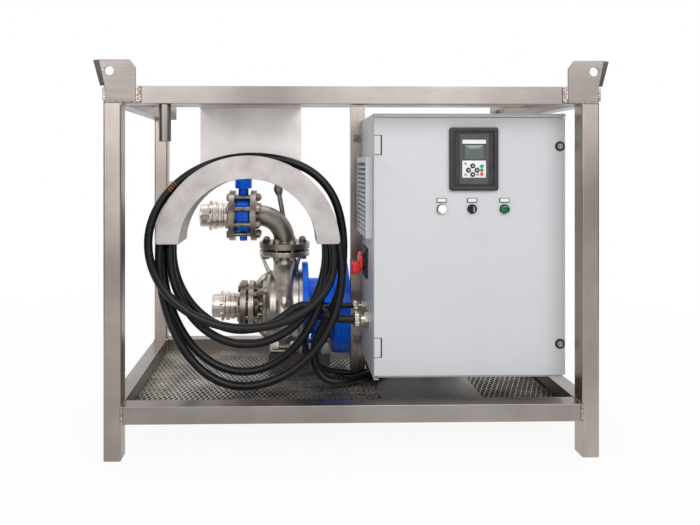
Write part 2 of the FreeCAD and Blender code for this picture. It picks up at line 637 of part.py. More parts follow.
def cabinet_inside():
    plate_left = "(cabinet_left + (cabinet_wide - inner_plate_wide) / 2)"
    plate_back = "(cabinet_back - cabinet_sheet - stand_off)"
    plate = box("inner_plate", ("inner_plate_wide", "inner_plate_sheet", "inner_plate_high"),
                (plate_left, plate_back + " - inner_plate_sheet",
                 "cabinet_low + (cabinet_high - inner_plate_high) / 2"))
    studs = []
    for number, (across, up) in enumerate(((0, 0), (1, 0), (0, 1), (1, 1)), start=1):
        studs.append(cylinder("stud_%d" % number, "6", "stand_off", (
            plate_left + " + 20 + %d * (inner_plate_wide - 40)" % across, plate_back,
            "cabinet_low + (cabinet_high - inner_plate_high) / 2 + 20 + %d * (inner_plate_high - 40)" % up),
            "y"))
    node(fuse("mounting_plate", [plate] + studs))
    case_left = plate_left + " + inner_plate_wide / 2 - drive_wide / 2"
    case = box("drive_case", ("drive_wide", "drive_deep", "drive_high"),
               (case_left, plate_back + " - inner_plate_sheet - drive_deep",
                "cabinet_low + cabinet_high / 2 - drive_high / 2"))
    slots = [box("drive_slot_%d" % number, ("drive_fin", "drive_deep * 0.5", "2 * drive_fin"), (
        case_left + " + 14 + %d * 3 * drive_fin" % number, plate_back + " - inner_plate_sheet - drive_deep * 0.9",
        "cabinet_low + cabinet_high / 2 + drive_high / 2 - drive_fin")) for number in range(16)]
    node(cut("drive_unit", case, fuse("drive_slots", slots)))


# Things on the door



def key_spots():
    """Key names with their places from the middle of the key field and their radii."""
    step = "key_pitch"
    return [
        ("key_up", "-0.35 * " + step, step, "key_round"),
        ("key_down", "-0.35 * " + step, "-" + step, "key_round"),
        ("key_left", "-1.35 * " + step, "0", "key_round"),
        ("key_right", "0.65 * " + step, "0", "key_round"),
        ("key_start", "1.75 * " + step, "0.9 * " + step, "key_small"),
        ("key_stop", "1.75 * " + step, "-0.9 * " + step, "key_small"),
    ]


def keypad():
    corner = (KEYPAD_X + " - bezel_wide / 2", CAB_FRONT + " - bezel_thick", "keypad_height - bezel_high / 2")
    plate = box("bezel_plate", ("bezel_wide", "bezel_thick", "bezel_high"), corner)
    recess = box("bezel_recess", ("recess_wide", "2 * recess_deep", "recess_high"),
                 (KEYPAD_X + " - recess_wide / 2", CAB_FRONT + " - bezel_thick - recess_deep",
                  "keypad_height - recess_high / 2"))
    window = box("bezel_window", ("panel_wide + 0.6", "4 * bezel_thick", "panel_high + 0.6"),
                 (KEYPAD_X + " - panel_wide / 2 - 0.3", CAB_FRONT + " - 2 * bezel_thick",
                  "keypad_height - panel_high / 2 - 0.3"))
    screws = []
    for number, (side, up) in enumerate(((-1, -1), (1, -1), (-1, 1), (1, 1)), start=1):
        screws.append(cylinder("bezel_screw_%d" % number, "4", "3", (
            KEYPAD_X + " + %d * (recess_wide / 2 - 8)" % side, CAB_FRONT + " - bezel_thick + recess_deep",
            "keypad_height + %d * (recess_high / 2 - 8)" % up), "-y"))
    framed = cut("bezel_frame", plate, fuse("bezel_cuts", [recess, window]))
    node(fuse("keypad_bezel", [framed] + screws))
    pads = key_spots()
    panel = box("panel_block", ("panel_wide", "panel_thick + door_thick * 0.6", "panel_high"),
                (KEYPAD_X + " - panel_wide / 2", PANEL_FRONT, "keypad_height - panel_high / 2"))
    wells = []
    for name, across, up, radius in pads:
        spot = (KEYPAD_X + " + " + across, PANEL_FRONT, KEY_MIDDLE + " + " + up)
        wells.append(cylinder(name + "_well", radius + " + key_clear", "8", (spot[0], spot[1] + " - 2", spot[2]), "y"))
    glass = box("panel_glass_recess", ("panel_wide - 22", "2", "42"),
                (KEYPAD_X + " - panel_wide / 2 + 11", PANEL_FRONT + " - 1", "keypad_height + 2"))
    node(cut("keypad", panel, fuse("panel_cuts", wells + [glass])))
    for name, across, up, radius in pads:
        node(turned(name, "y", [
            ("-key_proud", "0"), ("-key_proud", radius + " - 1"), ("-key_proud + 1", radius),
            ("6 - key_travel", radius), ("6 - key_travel", "0")],
            (KEYPAD_X + " + " + across, PANEL_FRONT, KEY_MIDDLE + " + " + up)))


def pilot_devices():
    """A push button, a selector and a lamp, each in a round bezel, with legend plates above."""
    bezel = [("-pilot_bezel", "cap_radius + 0.3"), ("-pilot_bezel", "pilot_radius - 1"),
             ("-pilot_bezel + 1", "pilot_radius"), ("0", "pilot_radius")]
    collars = [turned("collar_%d" % number, "y",
                      bezel + [("0", "pilot_bore"), ("door_thick + 14", "pilot_bore"),
                               ("door_thick + 14", "pilot_bore - 3"), ("-1", "pilot_bore - 3"),
                               ("-1", "cap_radius + 0.3")],
                      on_door(across, "pilot_height"))
               for number, across in enumerate(("button_across", "knob_across", "lamp_across"), start=1)]
    node(turned("push_button", "y", [
        ("-cap_proud", "0"), ("-cap_proud", "cap_radius - 1"), ("-cap_proud + 1", "cap_radius"),
        ("-cap_travel - 1.5", "cap_radius"), ("-cap_travel - 1.5", "pilot_bore - 3.3"),
        ("door_thick", "pilot_bore - 3.3"), ("door_thick", "0")], on_door("button_across", "pilot_height")))
    hub = turned("knob_hub", "y", [
        ("-pilot_bezel - 3", "0"), ("-pilot_bezel - 3", "cap_radius - 1"), ("-pilot_bezel - 2", "cap_radius"),
        ("-1.3", "cap_radius"), ("-1.3", "pilot_bore - 3.3"), ("door_thick", "pilot_bore - 3.3"),
        ("door_thick", "0")], on_door("knob_across", "pilot_height"))
    grip = box("knob_grip_bar", ("7", "knob_grip", "2 * cap_radius - 1"),
               ("cabinet_left + knob_across - 3.5", CAB_FRONT + " - pilot_bezel - 2 - knob_grip",
                "pilot_height - cap_radius + 0.5"))
    node(fuse("selector_knob", [hub, grip]))
    node(turned("green_lamp", "y", [
        ("-lamp_proud", "0"), ("-lamp_proud + 0.6", "5"), ("-lamp_proud + 2.4", "cap_radius - 2"),
        ("-lamp_proud + 5", "cap_radius"), ("-1.3", "cap_radius"), ("-1.3", "pilot_bore - 3.3"),
        ("door_thick", "pilot_bore - 3.3"), ("door_thick", "0")], on_door("lamp_across", "pilot_height")))
    plates = []
    for number, across in enumerate(("button_across", "knob_across", "lamp_across"), start=1):
        plates.append(box("legend_%d" % number, ("legend_wide", "legend_thick", "legend_high"),
                          ("cabinet_left + %s - legend_wide / 2" % across, CAB_FRONT + " - legend_thick",
                           "pilot_height + legend_up - legend_high / 2")))
    return collars + plates


def door_locks():
    """Round quarter-turn inserts in black escutcheons."""
    names = ("upper_lock", "lower_lock")
    heights = (CAB_TOP + " - lock_drop", "cabinet_low + lock_rise")
    bezels = []
    for name, height in zip(names, heights):
        spot = on_door("cabinet_wide - lock_in", height)
        bezels.append(turned(name + "_bezel", "y", [
            ("-lock_bezel", "lock_insert + 0.3"), ("-lock_bezel", "lock_radius - 1"),
            ("-lock_bezel + 1", "lock_radius"), ("0", "lock_radius"), ("0", "lock_insert + 2"),
            ("cabinet_sheet + 3", "lock_insert + 2"), ("cabinet_sheet + 3", "lock_insert + 0.3")], spot))
        insert = turned(name + "_insert", "y", [
            ("-lock_bezel + 0.5", "0"), ("-lock_bezel + 0.5", "lock_insert"), ("cabinet_sheet + 5", "lock_insert"),
            ("cabinet_sheet + 5", "0")], spot)
        slot = box(name + "_slot", ("lock_slot", "4", "2 * lock_insert - 4"),
                   (spot[0] + " - lock_slot / 2", CAB_FRONT + " - lock_bezel - 2",
                    height + " - lock_insert + 2"))
        cam = box(name + "_cam", ("14", "3", "9"),
                  (spot[0] + " - 15", CAB_FRONT + " + cabinet_sheet + 5", height + " - 4.5"))
        node(fuse(name, [cut(name + "_cut", insert, slot), cam]))
    return bezels


cabinet_body()
cabinet_door()
hinges()
wall_ears()
cabinet_inside()
keypad()
node(group("door_bezels", pilot_devices() + door_locks()))


# Left side of the cabinet

def cabinet_side():
    at = ("cabinet_left - grille_proud", "grille_centre - grille_size / 2", "grille_height - grille_size / 2")
    frame = hollow_box("grille_frame", ("grille_proud", "grille_size", "grille_size"), at,
                       ("0", "grille_border", "grille_border"))
    slats = doc.addObject("PartDesign::Body", "grille_slats")
    profile = outline(slats, "slat_profile", "XZ_Plane", [
        ("0", "0"), ("0", "-slat_thick"), ("grille_proud - 6", "slat_pitch * 0.75 - slat_thick"),
        ("grille_proud - 6", "slat_pitch * 0.75")])
    first = pad(slats, profile, "grille_size - 2 * grille_border + 2", "slat_first")
    row = slats.newObject("PartDesign::LinearPattern", "slat_row")
    row.Originals = [first]
    row.Direction = (profile, ["V_Axis"])
    bind(row, Length="slat_pitch * (slat_count - 1)", Occurrences="slat_count")
    slats.Tip = row
    place(slats, ("cabinet_left - grille_proud + 1", "grille_centre + grille_size / 2 - grille_border + 1",
                  "grille_height - grille_size / 2 + grille_border + 2 * slat_thick"))
    middle = ("cabinet_left", "grille_centre", "grille_height")
    shroud = turned("fan_shroud", "x", sleeve("fan_radius + 3.5", "fan_radius + 1.5", "-grille_back", "fan_room"),
                    middle)
    back_plate = box("grille_back_plate", ("grille_back", "grille_size - grille_border", "grille_size - grille_border"),
                     ("cabinet_left - grille_back", "grille_centre - (grille_size - grille_border) / 2",
                      "grille_height - (grille_size - grille_border) / 2"))
    back = cut("grille_back_ring", back_plate,
               cylinder("grille_back_hole", "fan_radius + 1.5", "3 * grille_back",
                        ("cabinet_left - 2 * grille_back", middle[1], middle[2]), "x"))
    arms = [box("fan_arm_%d" % number, ("3", wide, high), ("cabinet_left + fan_room - 3",
            "grille_centre - %s / 2" % wide, "grille_height - %s / 2" % high))
            for number, (wide, high) in enumerate((("(2 * fan_radius + 4)", "10"), ("10", "(2 * fan_radius + 4)")))]
    axle = cylinder("fan_axle", "fan_axle_radius", "fan_room - 10",
                    ("cabinet_left + 8", "grille_centre", "grille_height"), "x")
    node(fuse("filter_fan_frame", [frame, slats, back, shroud] + arms + [axle]))
    fan_wheel("filter_fan", "fan_hub", "fan_radius", "fan_deep", "fan_axle_radius + running_fit", 5,
              ("cabinet_left + 14", "grille_centre", "grille_height"))


def fan_wheel(name, hub, reach, deep, bore, blades, at):
    """A hub with pitched blades round the X axis."""
    boss = turned(name + "_hub", "x", sleeve(hub, bore, "0", deep), at)
    vanes = []
    for number in range(blades):
        vane = padded("%s_blade_%d" % (name, number), "YZ_Plane", [
            ("-0.35 * %s" % hub, "%s - 3" % hub), ("0.35 * %s" % hub, "%s - 3" % hub),
            ("0.75 * %s" % hub, "%s * 0.95" % reach), ("-0.5 * %s" % hub, "%s * 0.95" % reach)], "3",
            ("%s + %s / 2" % (at[0], deep), at[1], at[2]))
        spin = Rotation(Vector(1, 0, 0), 360.0 / blades * number)
        vane.Placement = Placement(vane.Placement.Base, spin * Rotation(Vector(0, 0, 1), 32))
        place(vane, ("%s + %s / 2" % (at[0], deep), at[1], at[2]))
        vanes.append(vane)
    return node(fuse(name, [boss] + vanes))


def isolator():
    spot = ("cabinet_left", "isolator_centre", ISOLATOR_UP)
    plate = box("isolator_base", ("isolator_thick", "isolator_wide", "isolator_high"),
                ("cabinet_left - isolator_thick", "isolator_centre - isolator_wide / 2",
                 ISOLATOR_UP + " - isolator_high / 2"))
    bore = cylinder("isolator_bore", "handle_neck / 2 + running_fit", "3 * isolator_thick",
                    ("cabinet_left - 2 * isolator_thick", spot[1], spot[2]), "x")
    boss = cylinder("isolator_boss", "handle_hub + 8", "6", ("cabinet_left - isolator_thick - 6", spot[1], spot[2]),
                    "x")
    node(cut("isolator_plate", fuse("isolator_stack", [plate, boss]), bore))
    neck = cylinder("handle_spindle", "handle_neck / 2", "isolator_thick + 26",
                    ("cabinet_left - isolator_thick - 12", spot[1], spot[2]), "x")
    hub = cylinder("handle_hub_disc", "handle_hub", "handle_reach - 6",
                   ("cabinet_left - isolator_thick - 6.3 - handle_reach + 6", spot[1], spot[2]), "x")
    bar = padded("handle_bar", "YZ_Plane", [
        ("-handle_thick / 2", "-handle_long * 0.45"), ("handle_thick / 2", "-handle_long * 0.45"),
        ("handle_thick * 0.36", "0"), ("handle_thick / 2", "handle_long * 0.55"),
        ("-handle_thick / 2", "handle_long * 0.55"), ("-handle_thick * 0.36", "0")],
        "handle_reach - 8", ("cabinet_left - isolator_thick - 6.3 - handle_reach - 2", spot[1], spot[2]))
    node(fuse("isolator_handle", [neck, hub, bar]))


def gland(name, cable, long, at):
    """A hexagon nut, a domed cap and a threaded spigot through the cabinet wall."""
    body = turned(name + "_dome", "x", [
        ("-%s" % long, "%s / 2 + 0.3" % cable), ("-%s" % long, "%s * 0.74" % cable),
        ("-%s * 0.92" % long, "%s * 0.88" % cable), ("-%s * 0.55" % long, "%s * 0.92" % cable),
        ("-%s * 0.45" % long, "%s * 0.8" % cable), ("-%s * 0.1" % long, "%s * 0.8" % cable),
        ("-%s * 0.1" % long, "%s * 0.66" % cable), ("cabinet_sheet + 8", "%s * 0.66" % cable),
        ("cabinet_sheet + 8", "%s / 2 + 0.3" % cable)], at)
    hex_body = doc.addObject("PartDesign::Body", name + "_nut")
    shape = outline(hex_body, name + "_nut_outline", "YZ_Plane", hexagon("0", "0", "%s * 1.95" % cable))
    hole = ring_sketch(hex_body, name + "_nut_hole", "YZ_Plane", ("0", "0"), "%s * 0.7" % cable)
    pad(hex_body, shape, "%s * 0.28" % long, name + "_nut_pad")
    pocket = hex_body.newObject("PartDesign::Pocket", name + "_nut_bore")
    pocket.Profile = hole
    pocket.Type = "ThroughAll"
    pocket.Midplane = True
    hex_body.Tip = pocket
    place(hex_body, ("%s - %s * 0.28" % (at[0], long), at[1], at[2]))
    return fuse(name, [body, hex_body])


def glands():
    big = gland("gland_big_body", "gland_big", "gland_big_long", ("cabinet_left", "gland_big_y", "gland_big_z"))
    small = gland("gland_small_body", "gland_small", "gland_small_long",
                  ("cabinet_left", "gland_small_y", "gland_small_z"))
    node(group("cable_glands", [big, small]))


cabinet_side()
isolator()
glands()


# Pump

AXIS = ("0", "pump_y", "pump_z")
OUTLET = "(pump_z + outlet_height)"


def scroll(name, trim):
    """The spiral duct: circles whose reach and bore grow round the wheel, led up into the outlet neck."""
    rings = []
    steps = 12
    for step in range(steps + 1):
        share = step / steps
        turn_by = 20 + 250 * share
        bore = "(throat_small + (throat_big - throat_small) * %.3f - (%s))" % (share, trim)
        reach = "(spiral_start + (spiral_end - spiral_start) * %.3f)" % share
        rings.append(scroll_ring("%s_ring_%d" % (name, step), bore, turn_by,
                                 "pump_y + %s * sin(%.1f)" % (reach, turn_by),
                                 "pump_z + %s * cos(%.1f)" % (reach, turn_by)))
    for number, (share, lean) in enumerate(((0.2, 282), (0.4, 298), (0.6, 298), (0.8, 282), (1.0, 270))):
        across = "pump_y - spiral_end * %.3f" % (1 - share * share * (3 - 2 * share))
        up = "pump_z + (outlet_height - flange_thick) * %.3f" % share
        rings.append(scroll_ring("%s_neck_%d" % (name, number), "(neck_radius - (%s))" % trim, lean, across, up))
    duct = doc.addObject("Part::Loft", name)
    duct.Sections = rings
    duct.Solid = True
    duct.Ruled = True
    return duct


def scroll_ring(name, radius, turn_by, across, up):
    """One circle of the scroll, standing square to the flow."""
    ring = doc.addObject("Part::Circle", name)
    bind(ring, Radius=radius)
    flow = Vector(0, math.cos(math.radians(turn_by)), -math.sin(math.radians(turn_by)))
    ring.Placement = Placement(Vector(), Rotation(Vector(0, 0, 1), flow))
    return place(ring, ("outlet_x", across, up))


def pump_casing():
    """A volute casing: drum, spiral and neck in one casting with flanges, ribs and a foot."""
    drum = turned("casing_drum", "x", [
        ("suction_face - face_step", "bore_radius"), ("suction_face - face_step", "face_radius"),
        ("suction_face", "face_radius"), ("suction_face", "flange_radius"),
        ("suction_face + flange_thick", "flange_radius"), ("suction_face + flange_thick", "suction_neck"),
        ("casing_front - 6", "suction_neck"), ("casing_front", "suction_neck + 8"),
        ("casing_front", "casing_radius - 14"), ("casing_front + 14", "casing_radius"),
        ("casing_back", "casing_radius"), ("casing_back", "bore_radius")], AXIS)
    ring_of_holes(drum, "suction_holes", "YZ_Plane", "bolt_ring", "bolt_hole / 2", "bolt_count", "22.5")
    outlet = turned("outlet_flange", "z", [
        ("-flange_thick - 2", "bore_radius"), ("-flange_thick - 2", "neck_radius + 2"),
        ("-flange_thick", "neck_radius + 8"), ("-flange_thick", "flange_radius"), ("0", "flange_radius"),
        ("0", "face_radius"), ("face_step", "face_radius"), ("face_step", "bore_radius")],
        ("outlet_x", "pump_y", OUTLET))
    ring_of_holes(outlet, "outlet_holes", "XY_Plane", "bolt_ring", "bolt_hole / 2", "bolt_count", "22.5")
    foot = box("casing_foot", ("foot_wide", "foot_deep", "foot_thick"),
               ("outlet_x - foot_wide / 2", "pump_y - foot_deep / 2", "plinth_top"))
    stem = box("casing_stem", ("foot_wide * 0.4", "foot_deep * 0.6", "pump_z - plinth_top - casing_radius * 0.8"),
               ("outlet_x - foot_wide * 0.2", "pump_y - foot_deep * 0.3", "plinth_top"))
    rib_y = "pump_y + rib_thick / 2"
    left_rib = padded("rib_left", "XZ_Plane", [
        ("casing_front - 27", OUTLET + " - flange_thick - 1"), ("casing_front - 14", OUTLET + " - flange_thick - 1"),
        ("casing_front + 4", "pump_z + casing_radius + 18"), ("casing_front + 16", "pump_z + casing_radius - 3"),
        ("casing_front + 2", "pump_z + casing_radius - 12"), ("casing_front - 10", "pump_z + casing_radius + 14")],
        "rib_thick", ("0", rib_y, "0"))
    right_rib = padded("rib_right", "XZ_Plane", [
        ("casing_back + 11", OUTLET + " - flange_thick - 1"), ("casing_back - 3", OUTLET + " - flange_thick - 1"),
        ("casing_back - 14", "pump_z + casing_radius + 12"), ("casing_back - 18", "pump_z + casing_radius - 6"),
        ("casing_back - 1", "pump_z + casing_radius - 6"), ("casing_back - 1", "pump_z + casing_radius + 16")],
        "rib_thick", ("0", rib_y, "0"))
    webs = []
    for number, way in enumerate((1, -1)):
        webs.append(padded("web_%d" % number, "XZ_Plane", [
            ("suction_face + flange_thick - 1", "pump_z + %d * (suction_neck - 2)" % way),
            ("suction_face + flange_thick - 1", "pump_z + %d * (flange_radius - 16)" % way),
            ("casing_front + 1", "pump_z + %d * (casing_radius - 15)" % way),
            ("casing_front + 1", "pump_z + %d * (suction_neck + 4)" % way)],
            "rib_thick", ("0", rib_y, "0")))
    plug = turned("drain_plug", "y", [("-16", "0"), ("-16", "7"), ("-8", "7"), ("-8", "11"), ("2", "11"),
                                      ("2", "0")],
                  ("(suction_face + flange_thick + casing_front) / 2 + 6", "pump_y - suction_neck", "pump_z"))
    solid = fuse("casing_solid", [drum, outlet, scroll("scroll_outer", "0"), foot, stem, left_rib, right_rib,
                                  plug] + webs)
    room = turned("wheel_room", "x", [
        ("suction_face - 2 * face_step", "0"), ("suction_face - 2 * face_step", "bore_radius"),
        ("outlet_x - wheel_half - impeller_gap", "bore_radius"),
        ("outlet_x - wheel_half - impeller_gap", "spiral_start"),
        ("outlet_x + wheel_half + impeller_gap", "spiral_start"),
        ("outlet_x + wheel_half + impeller_gap", "spiral_start - 4"),
        ("casing_back + 1", "spiral_start - 4"), ("casing_back + 1", "0")], AXIS)
    outlet_bore = cylinder("outlet_bore", "bore_radius", "flange_thick + 6 * face_step",
                           ("outlet_x", "pump_y", OUTLET + " - flange_thick - 3 * face_step"))
    hollow = fuse("casing_hollow", [scroll("scroll_inner", "casing_wall"), room, outlet_bore])
    node(cut("pump_casing", solid, hollow))


def rotating_parts():
    cover = turned("casing_cover", "x", [
        ("casing_back", "seal_radius + 0.5"), ("casing_back - 30", "seal_radius + 0.5"),
        ("casing_back - 30", "spiral_start - 4.3"), ("casing_back", "spiral_start - 4.3"),
        ("casing_back", "cover_radius"), ("casing_back + cover_thick", "cover_radius"),
        ("casing_back + cover_thick", "seal_radius + 0.5")], AXIS)
    node(cover)
    wheel = turned("wheel_shrouds", "x", [
        ("wheel_half - impeller_shroud", "shaft_radius"), ("wheel_half - impeller_shroud", "impeller_radius"),
        ("wheel_half", "impeller_radius"), ("wheel_half", "impeller_hub"),
        ("wheel_half + 8", "impeller_hub"), ("wheel_half + 8", "shaft_radius")], ("outlet_x", "pump_y", "pump_z"))
    front = turned("wheel_front", "x", [
        ("-wheel_half", "impeller_eye"), ("-wheel_half", "impeller_radius"),
        ("impeller_shroud - wheel_half", "impeller_radius"), ("impeller_shroud - wheel_half", "impeller_eye")],
        ("outlet_x", "pump_y", "pump_z"))
    vane_body = doc.addObject("PartDesign::Body", "wheel_vanes")
    curve = vane_outline()
    sketch = outline(vane_body, "vane_outline", "YZ_Plane", curve)
    vane = pad(vane_body, sketch, "impeller_wide", "vane_pad")
    repeat(vane_body, "vane_ring", [vane], sketch, "vane_count")
    place(vane_body, ("outlet_x - impeller_wide / 2", "pump_y", "pump_z"))
    node(fuse("impeller", [wheel, front, vane_body]))
    shaft = turned("shaft_bar", "x", [
        ("outlet_x + wheel_half - impeller_shroud - 6", "0"),
        ("outlet_x + wheel_half - impeller_shroud - 6", "shaft_radius - 0.02"),
        ("motor_end + 28", "shaft_radius - 0.02"), ("motor_end + 28", "0")], AXIS)
    seal = turned("seal_head", "x", sleeve("seal_radius", "shaft_radius - 0.1", "casing_back - 14",
                                           "casing_back + cover_thick - 4"), AXIS)
    rotor = turned("rotor_core", "x", sleeve("motor_bore - 2", "shaft_radius - 0.1", "motor_start + 60",
                                             "motor_end - 60"), AXIS)
    node(fuse("pump_shaft", [shaft, seal, rotor]))


def vane_outline():
    """A backward-curved vane: its lead angle grows evenly with the radius."""
    count = 6
    points = []
    for side, steps in ((0.5, range(count + 1)), (-0.5, range(count, -1, -1))):
        for step in steps:
            share = step / count
            radius = "(impeller_hub + 2 + (impeller_radius - impeller_hub - 3) * %.3f)" % share
            angle = "(%.1f + %.1f * vane_thick * 57.3 / %s)" % (-75 * share, side, radius)
            points.append(("%s * cos(%s)" % (radius, angle), "%s * sin(%s)" % (radius, angle)))
    return points


def lantern():
    """The cast lantern between pump and motor with its big ribbed disc and side windows."""
    start = "(casing_back + cover_thick)"
    neck = "(%s + lantern_flange_thick)" % start
    shell = turned("lantern_shell", "x", [
        (start, "cover_radius - 40"), (start, "lantern_flange"), (neck, "lantern_flange"),
        (neck, "lantern_neck + 8"), (neck + " + 40", "lantern_neck + 8"), ("disc_start", "lantern_mouth"),
        ("disc_start", "disc_radius - 6"), ("disc_start + 14", "disc_radius"),
        ("disc_start + 18", "disc_radius"), ("disc_start + 18", "disc_radius - 5"),
        ("disc_start + 22", "disc_radius - 5"), ("disc_start + 22", "disc_radius"),
        ("disc_start + 36", "disc_radius"), ("disc_start + 36", "disc_radius - 5"),
        ("disc_start + 40", "disc_radius - 5"), ("disc_start + 40", "disc_radius - 2"),
        ("motor_start", "disc_radius - 2"), ("motor_start", "motor_bore + 2"),
        ("disc_start + 6", "motor_bore + 2"), ("disc_start", "lantern_mouth - lantern_wall"),
        (neck + " + 34", "lantern_neck + 8 - lantern_wall"), (neck, "lantern_neck + 8 - lantern_wall"),
        (neck, "cover_radius - 40")], AXIS)
    window = box("lantern_window_tool", ("disc_start - %s - 30" % neck, "4 * lantern_mouth", "lantern_window * 2"),
                 (neck + " + 14", "pump_y - 2 * lantern_mouth", "pump_z - lantern_window"))
    foot = box("lantern_foot", ("foot_thick * 3", "plinth_wide * 0.8", "pump_z - plinth_top - lantern_neck"),
               (neck + " + 12", "pump_y - plinth_wide * 0.4", "plinth_top"))
    node(fuse("lantern", [cut("lantern_open", shell, window), foot]))


def motor():
    housing = turned("motor_barrel", "x", [
        ("motor_start", "shaft_radius + running_fit"), ("motor_start", "motor_flange"),
        ("motor_start + motor_flange_thick", "motor_flange"), ("motor_start + motor_flange_thick", "motor_radius"),
        ("motor_end", "motor_radius"), ("motor_end", "shaft_radius + running_fit"),
        ("motor_end - 14", "shaft_radius + running_fit"), ("motor_end - 14", "motor_bore"),
        ("motor_start + 14", "motor_bore"), ("motor_start + 14", "shaft_radius + running_fit")], AXIS)
    fin_body = doc.addObject("PartDesign::Body", "motor_fin_ring")
    fin = outline(fin_body, "fin_outline", "YZ_Plane", [
        ("-motor_fin_thick / 2", "motor_radius - 2"), ("motor_fin_thick / 2", "motor_radius - 2"),
        ("motor_fin_thick / 2", "motor_radius + motor_fin"), ("-motor_fin_thick / 2", "motor_radius + motor_fin")])
    first = pad(fin_body, fin, "motor_end - motor_start - motor_flange_thick - 24", "fin_pad")
    repeat(fin_body, "fin_ring", [first], fin, "motor_fins")
    place(fin_body, ("motor_start + motor_flange_thick + 8", "pump_y", "pump_z"))
    cowl = turned("fan_cowl", "x", [
        ("motor_end - 12", "motor_radius"), ("motor_end - 12", "motor_radius + cowl_sheet"),
        ("motor_end + cowl_long - 10", "motor_radius + cowl_sheet"),
        ("motor_end + cowl_long", "motor_radius - 8"), ("motor_end + cowl_long", "24"),
        ("motor_end + cowl_long - cowl_sheet", "24"), ("motor_end + cowl_long - cowl_sheet", "motor_radius - 9"),
        ("motor_end + cowl_long - 11", "motor_radius")], AXIS)
    ring_of_holes(cowl, "cowl_vents", "YZ_Plane", "2 * (motor_radius - 30)", "9", "14", "0")
    motor_body = fuse("motor_finned", [housing, fin_body])
    node(group("motor_housing", [motor_body, cowl]))
    hub = turned("motor_fan_hub", "x", sleeve("24", "shaft_radius", "motor_end + 3", "motor_end + 27"), AXIS)
    vane_body = doc.addObject("PartDesign::Body", "motor_fan_vanes")
    sketch = outline(vane_body, "motor_vane_outline", "YZ_Plane", [
        ("-1.5", "20"), ("1.5", "20"), ("1.5", "motor_fan"), ("-1.5", "motor_fan")])
    vane = pad(vane_body, sketch, "motor_fan_long", "motor_vane_pad")
    repeat(vane_body, "motor_vane_ring", [vane], sketch, "8")
    place(vane_body, ("motor_end + 3", "pump_y", "pump_z"))
    node(fuse("motor_fan_wheel", [hub, vane_body]))
    at = ("motor_start + box_in", "pump_y - box_deep / 2", "pump_z + motor_radius + motor_fin")
    case = box("terminal_case", ("box_long", "box_deep", "box_high"), at)
    lid = box("terminal_lid", ("box_long + 6", "box_deep + 6", "8"),
              (at[0] + " - 3", at[1] + " - 3", at[2] + " + box_high"))
    exit_spot = (at[0] + " + box_long / 2", "pump_y + box_deep / 2 - 1", at[2] + " + box_high / 2")
    exit_gland = cylinder("terminal_gland", "motor_cable * 0.75", "box_gland + 1", exit_spot, "y")
    node(fuse("terminal_box", [case, lid, exit_gland]))


pump_casing()
rotating_parts()
lantern()
motor()


# Pipework

LINE_Z = "(%s + 2 * face_step + gasket + flange_thick + elbow_stub + elbow_bend)" % OUTLET
LINE_X = "(outlet_x - elbow_bend - line_stub)"
JOINT = "(2 * flange_thick + 2 * face_step + gasket)"
VALVE_LEFT = "(%s - flange_thick - face_step - valve_wide)" % LINE_X


def raised_flange(name, axis, at, way, bore):
    """A drilled pipe flange; way is the side that its raised face looks to."""
    flip = "-" if way < 0 else ""
    profile = [("0", bore), ("0", "flange_radius"), (flip + "flange_thick", "flange_radius"),
               (flip + "flange_thick", "face_radius"), (flip + "(flange_thick + face_step)", "face_radius"),
               (flip + "(flange_thick + face_step)", bore)]
    disc = turned(name, axis, profile, at)
    plane = "XY_Plane" if axis == "z" else "YZ_Plane"
    return ring_of_holes(disc, name + "_holes", plane, "bolt_ring", "bolt_hole / 2", "bolt_count", "22.5")


def discharge_elbow():
    lower = raised_flange("elbow_lower_flange", "z", ("outlet_x", "pump_y", "%s - elbow_bend - elbow_stub" % LINE_Z),
                          -1, "pipe_radius - pipe_wall")
    upper = raised_flange("elbow_upper_flange", "x", (LINE_X, "pump_y", LINE_Z), -1, "pipe_radius - pipe_wall")
    tubes = []
    for kind, radius in (("outer", "pipe_radius"), ("inner", "pipe_radius - pipe_wall")):
        bend = doc.addObject("Part::Torus", "elbow_bend_" + kind)
        bind(bend, Radius1="elbow_bend", Radius2=radius)
        bend.Angle3 = 90
        bend.Placement = Placement(Vector(), Rotation(Vector(1, 0, 0), 90))
        place(bend, ("outlet_x - elbow_bend", "pump_y", "%s - elbow_bend" % LINE_Z))
        upright = cylinder("elbow_upright_" + kind, radius, "elbow_stub",
                           ("outlet_x", "pump_y", "%s - elbow_bend - elbow_stub" % LINE_Z))
        level = cylinder("elbow_level_" + kind, radius, "line_stub", (LINE_X, "pump_y", LINE_Z), "x")
        tubes.append(fuse("elbow_tube_" + kind, [bend, upright, level]))
    node(cut("discharge_elbow", fuse("elbow_solid", [lower, upper, tubes[0]] + vent()), tubes[1]))


def vent():
    """A slim pipe with a fitting, leaning back from the outside of the bend."""
    start = ("outlet_x + vent_across", "pump_y + vent_behind", "%s - vent_below" % LINE_Z)

    def along(distance):
        return ("%s - (%s) * sin(vent_lean)" % (start[0], distance), start[1],
                "%s + (%s) * cos(vent_lean)" % (start[2], distance))
    pieces = [
        cylinder("vent_pipe_run", "vent_pipe", "vent_long", along("0")),
        cone("vent_cone", "vent_pipe + 2", "vent_fitting", "vent_flare", along("vent_long - 4")),
        cylinder("vent_head", "vent_fitting", "vent_flare", along("vent_long + vent_flare - 4")),
        cylinder("vent_cap", "vent_fitting * 0.7", "vent_flare * 0.6", along("vent_long + 2 * vent_flare - 4")),
    ]
    for piece in pieces:
        base = piece.Placement.Base
        piece.Placement = Placement(base, Rotation(Vector(0, 1, 0), -size("vent_lean")))
    for piece, distance in zip(pieces, ("0", "vent_long - 4", "vent_long + vent_flare - 4",
                                        "vent_long + 2 * vent_flare - 4")):
        place(piece, along(distance))
    return pieces


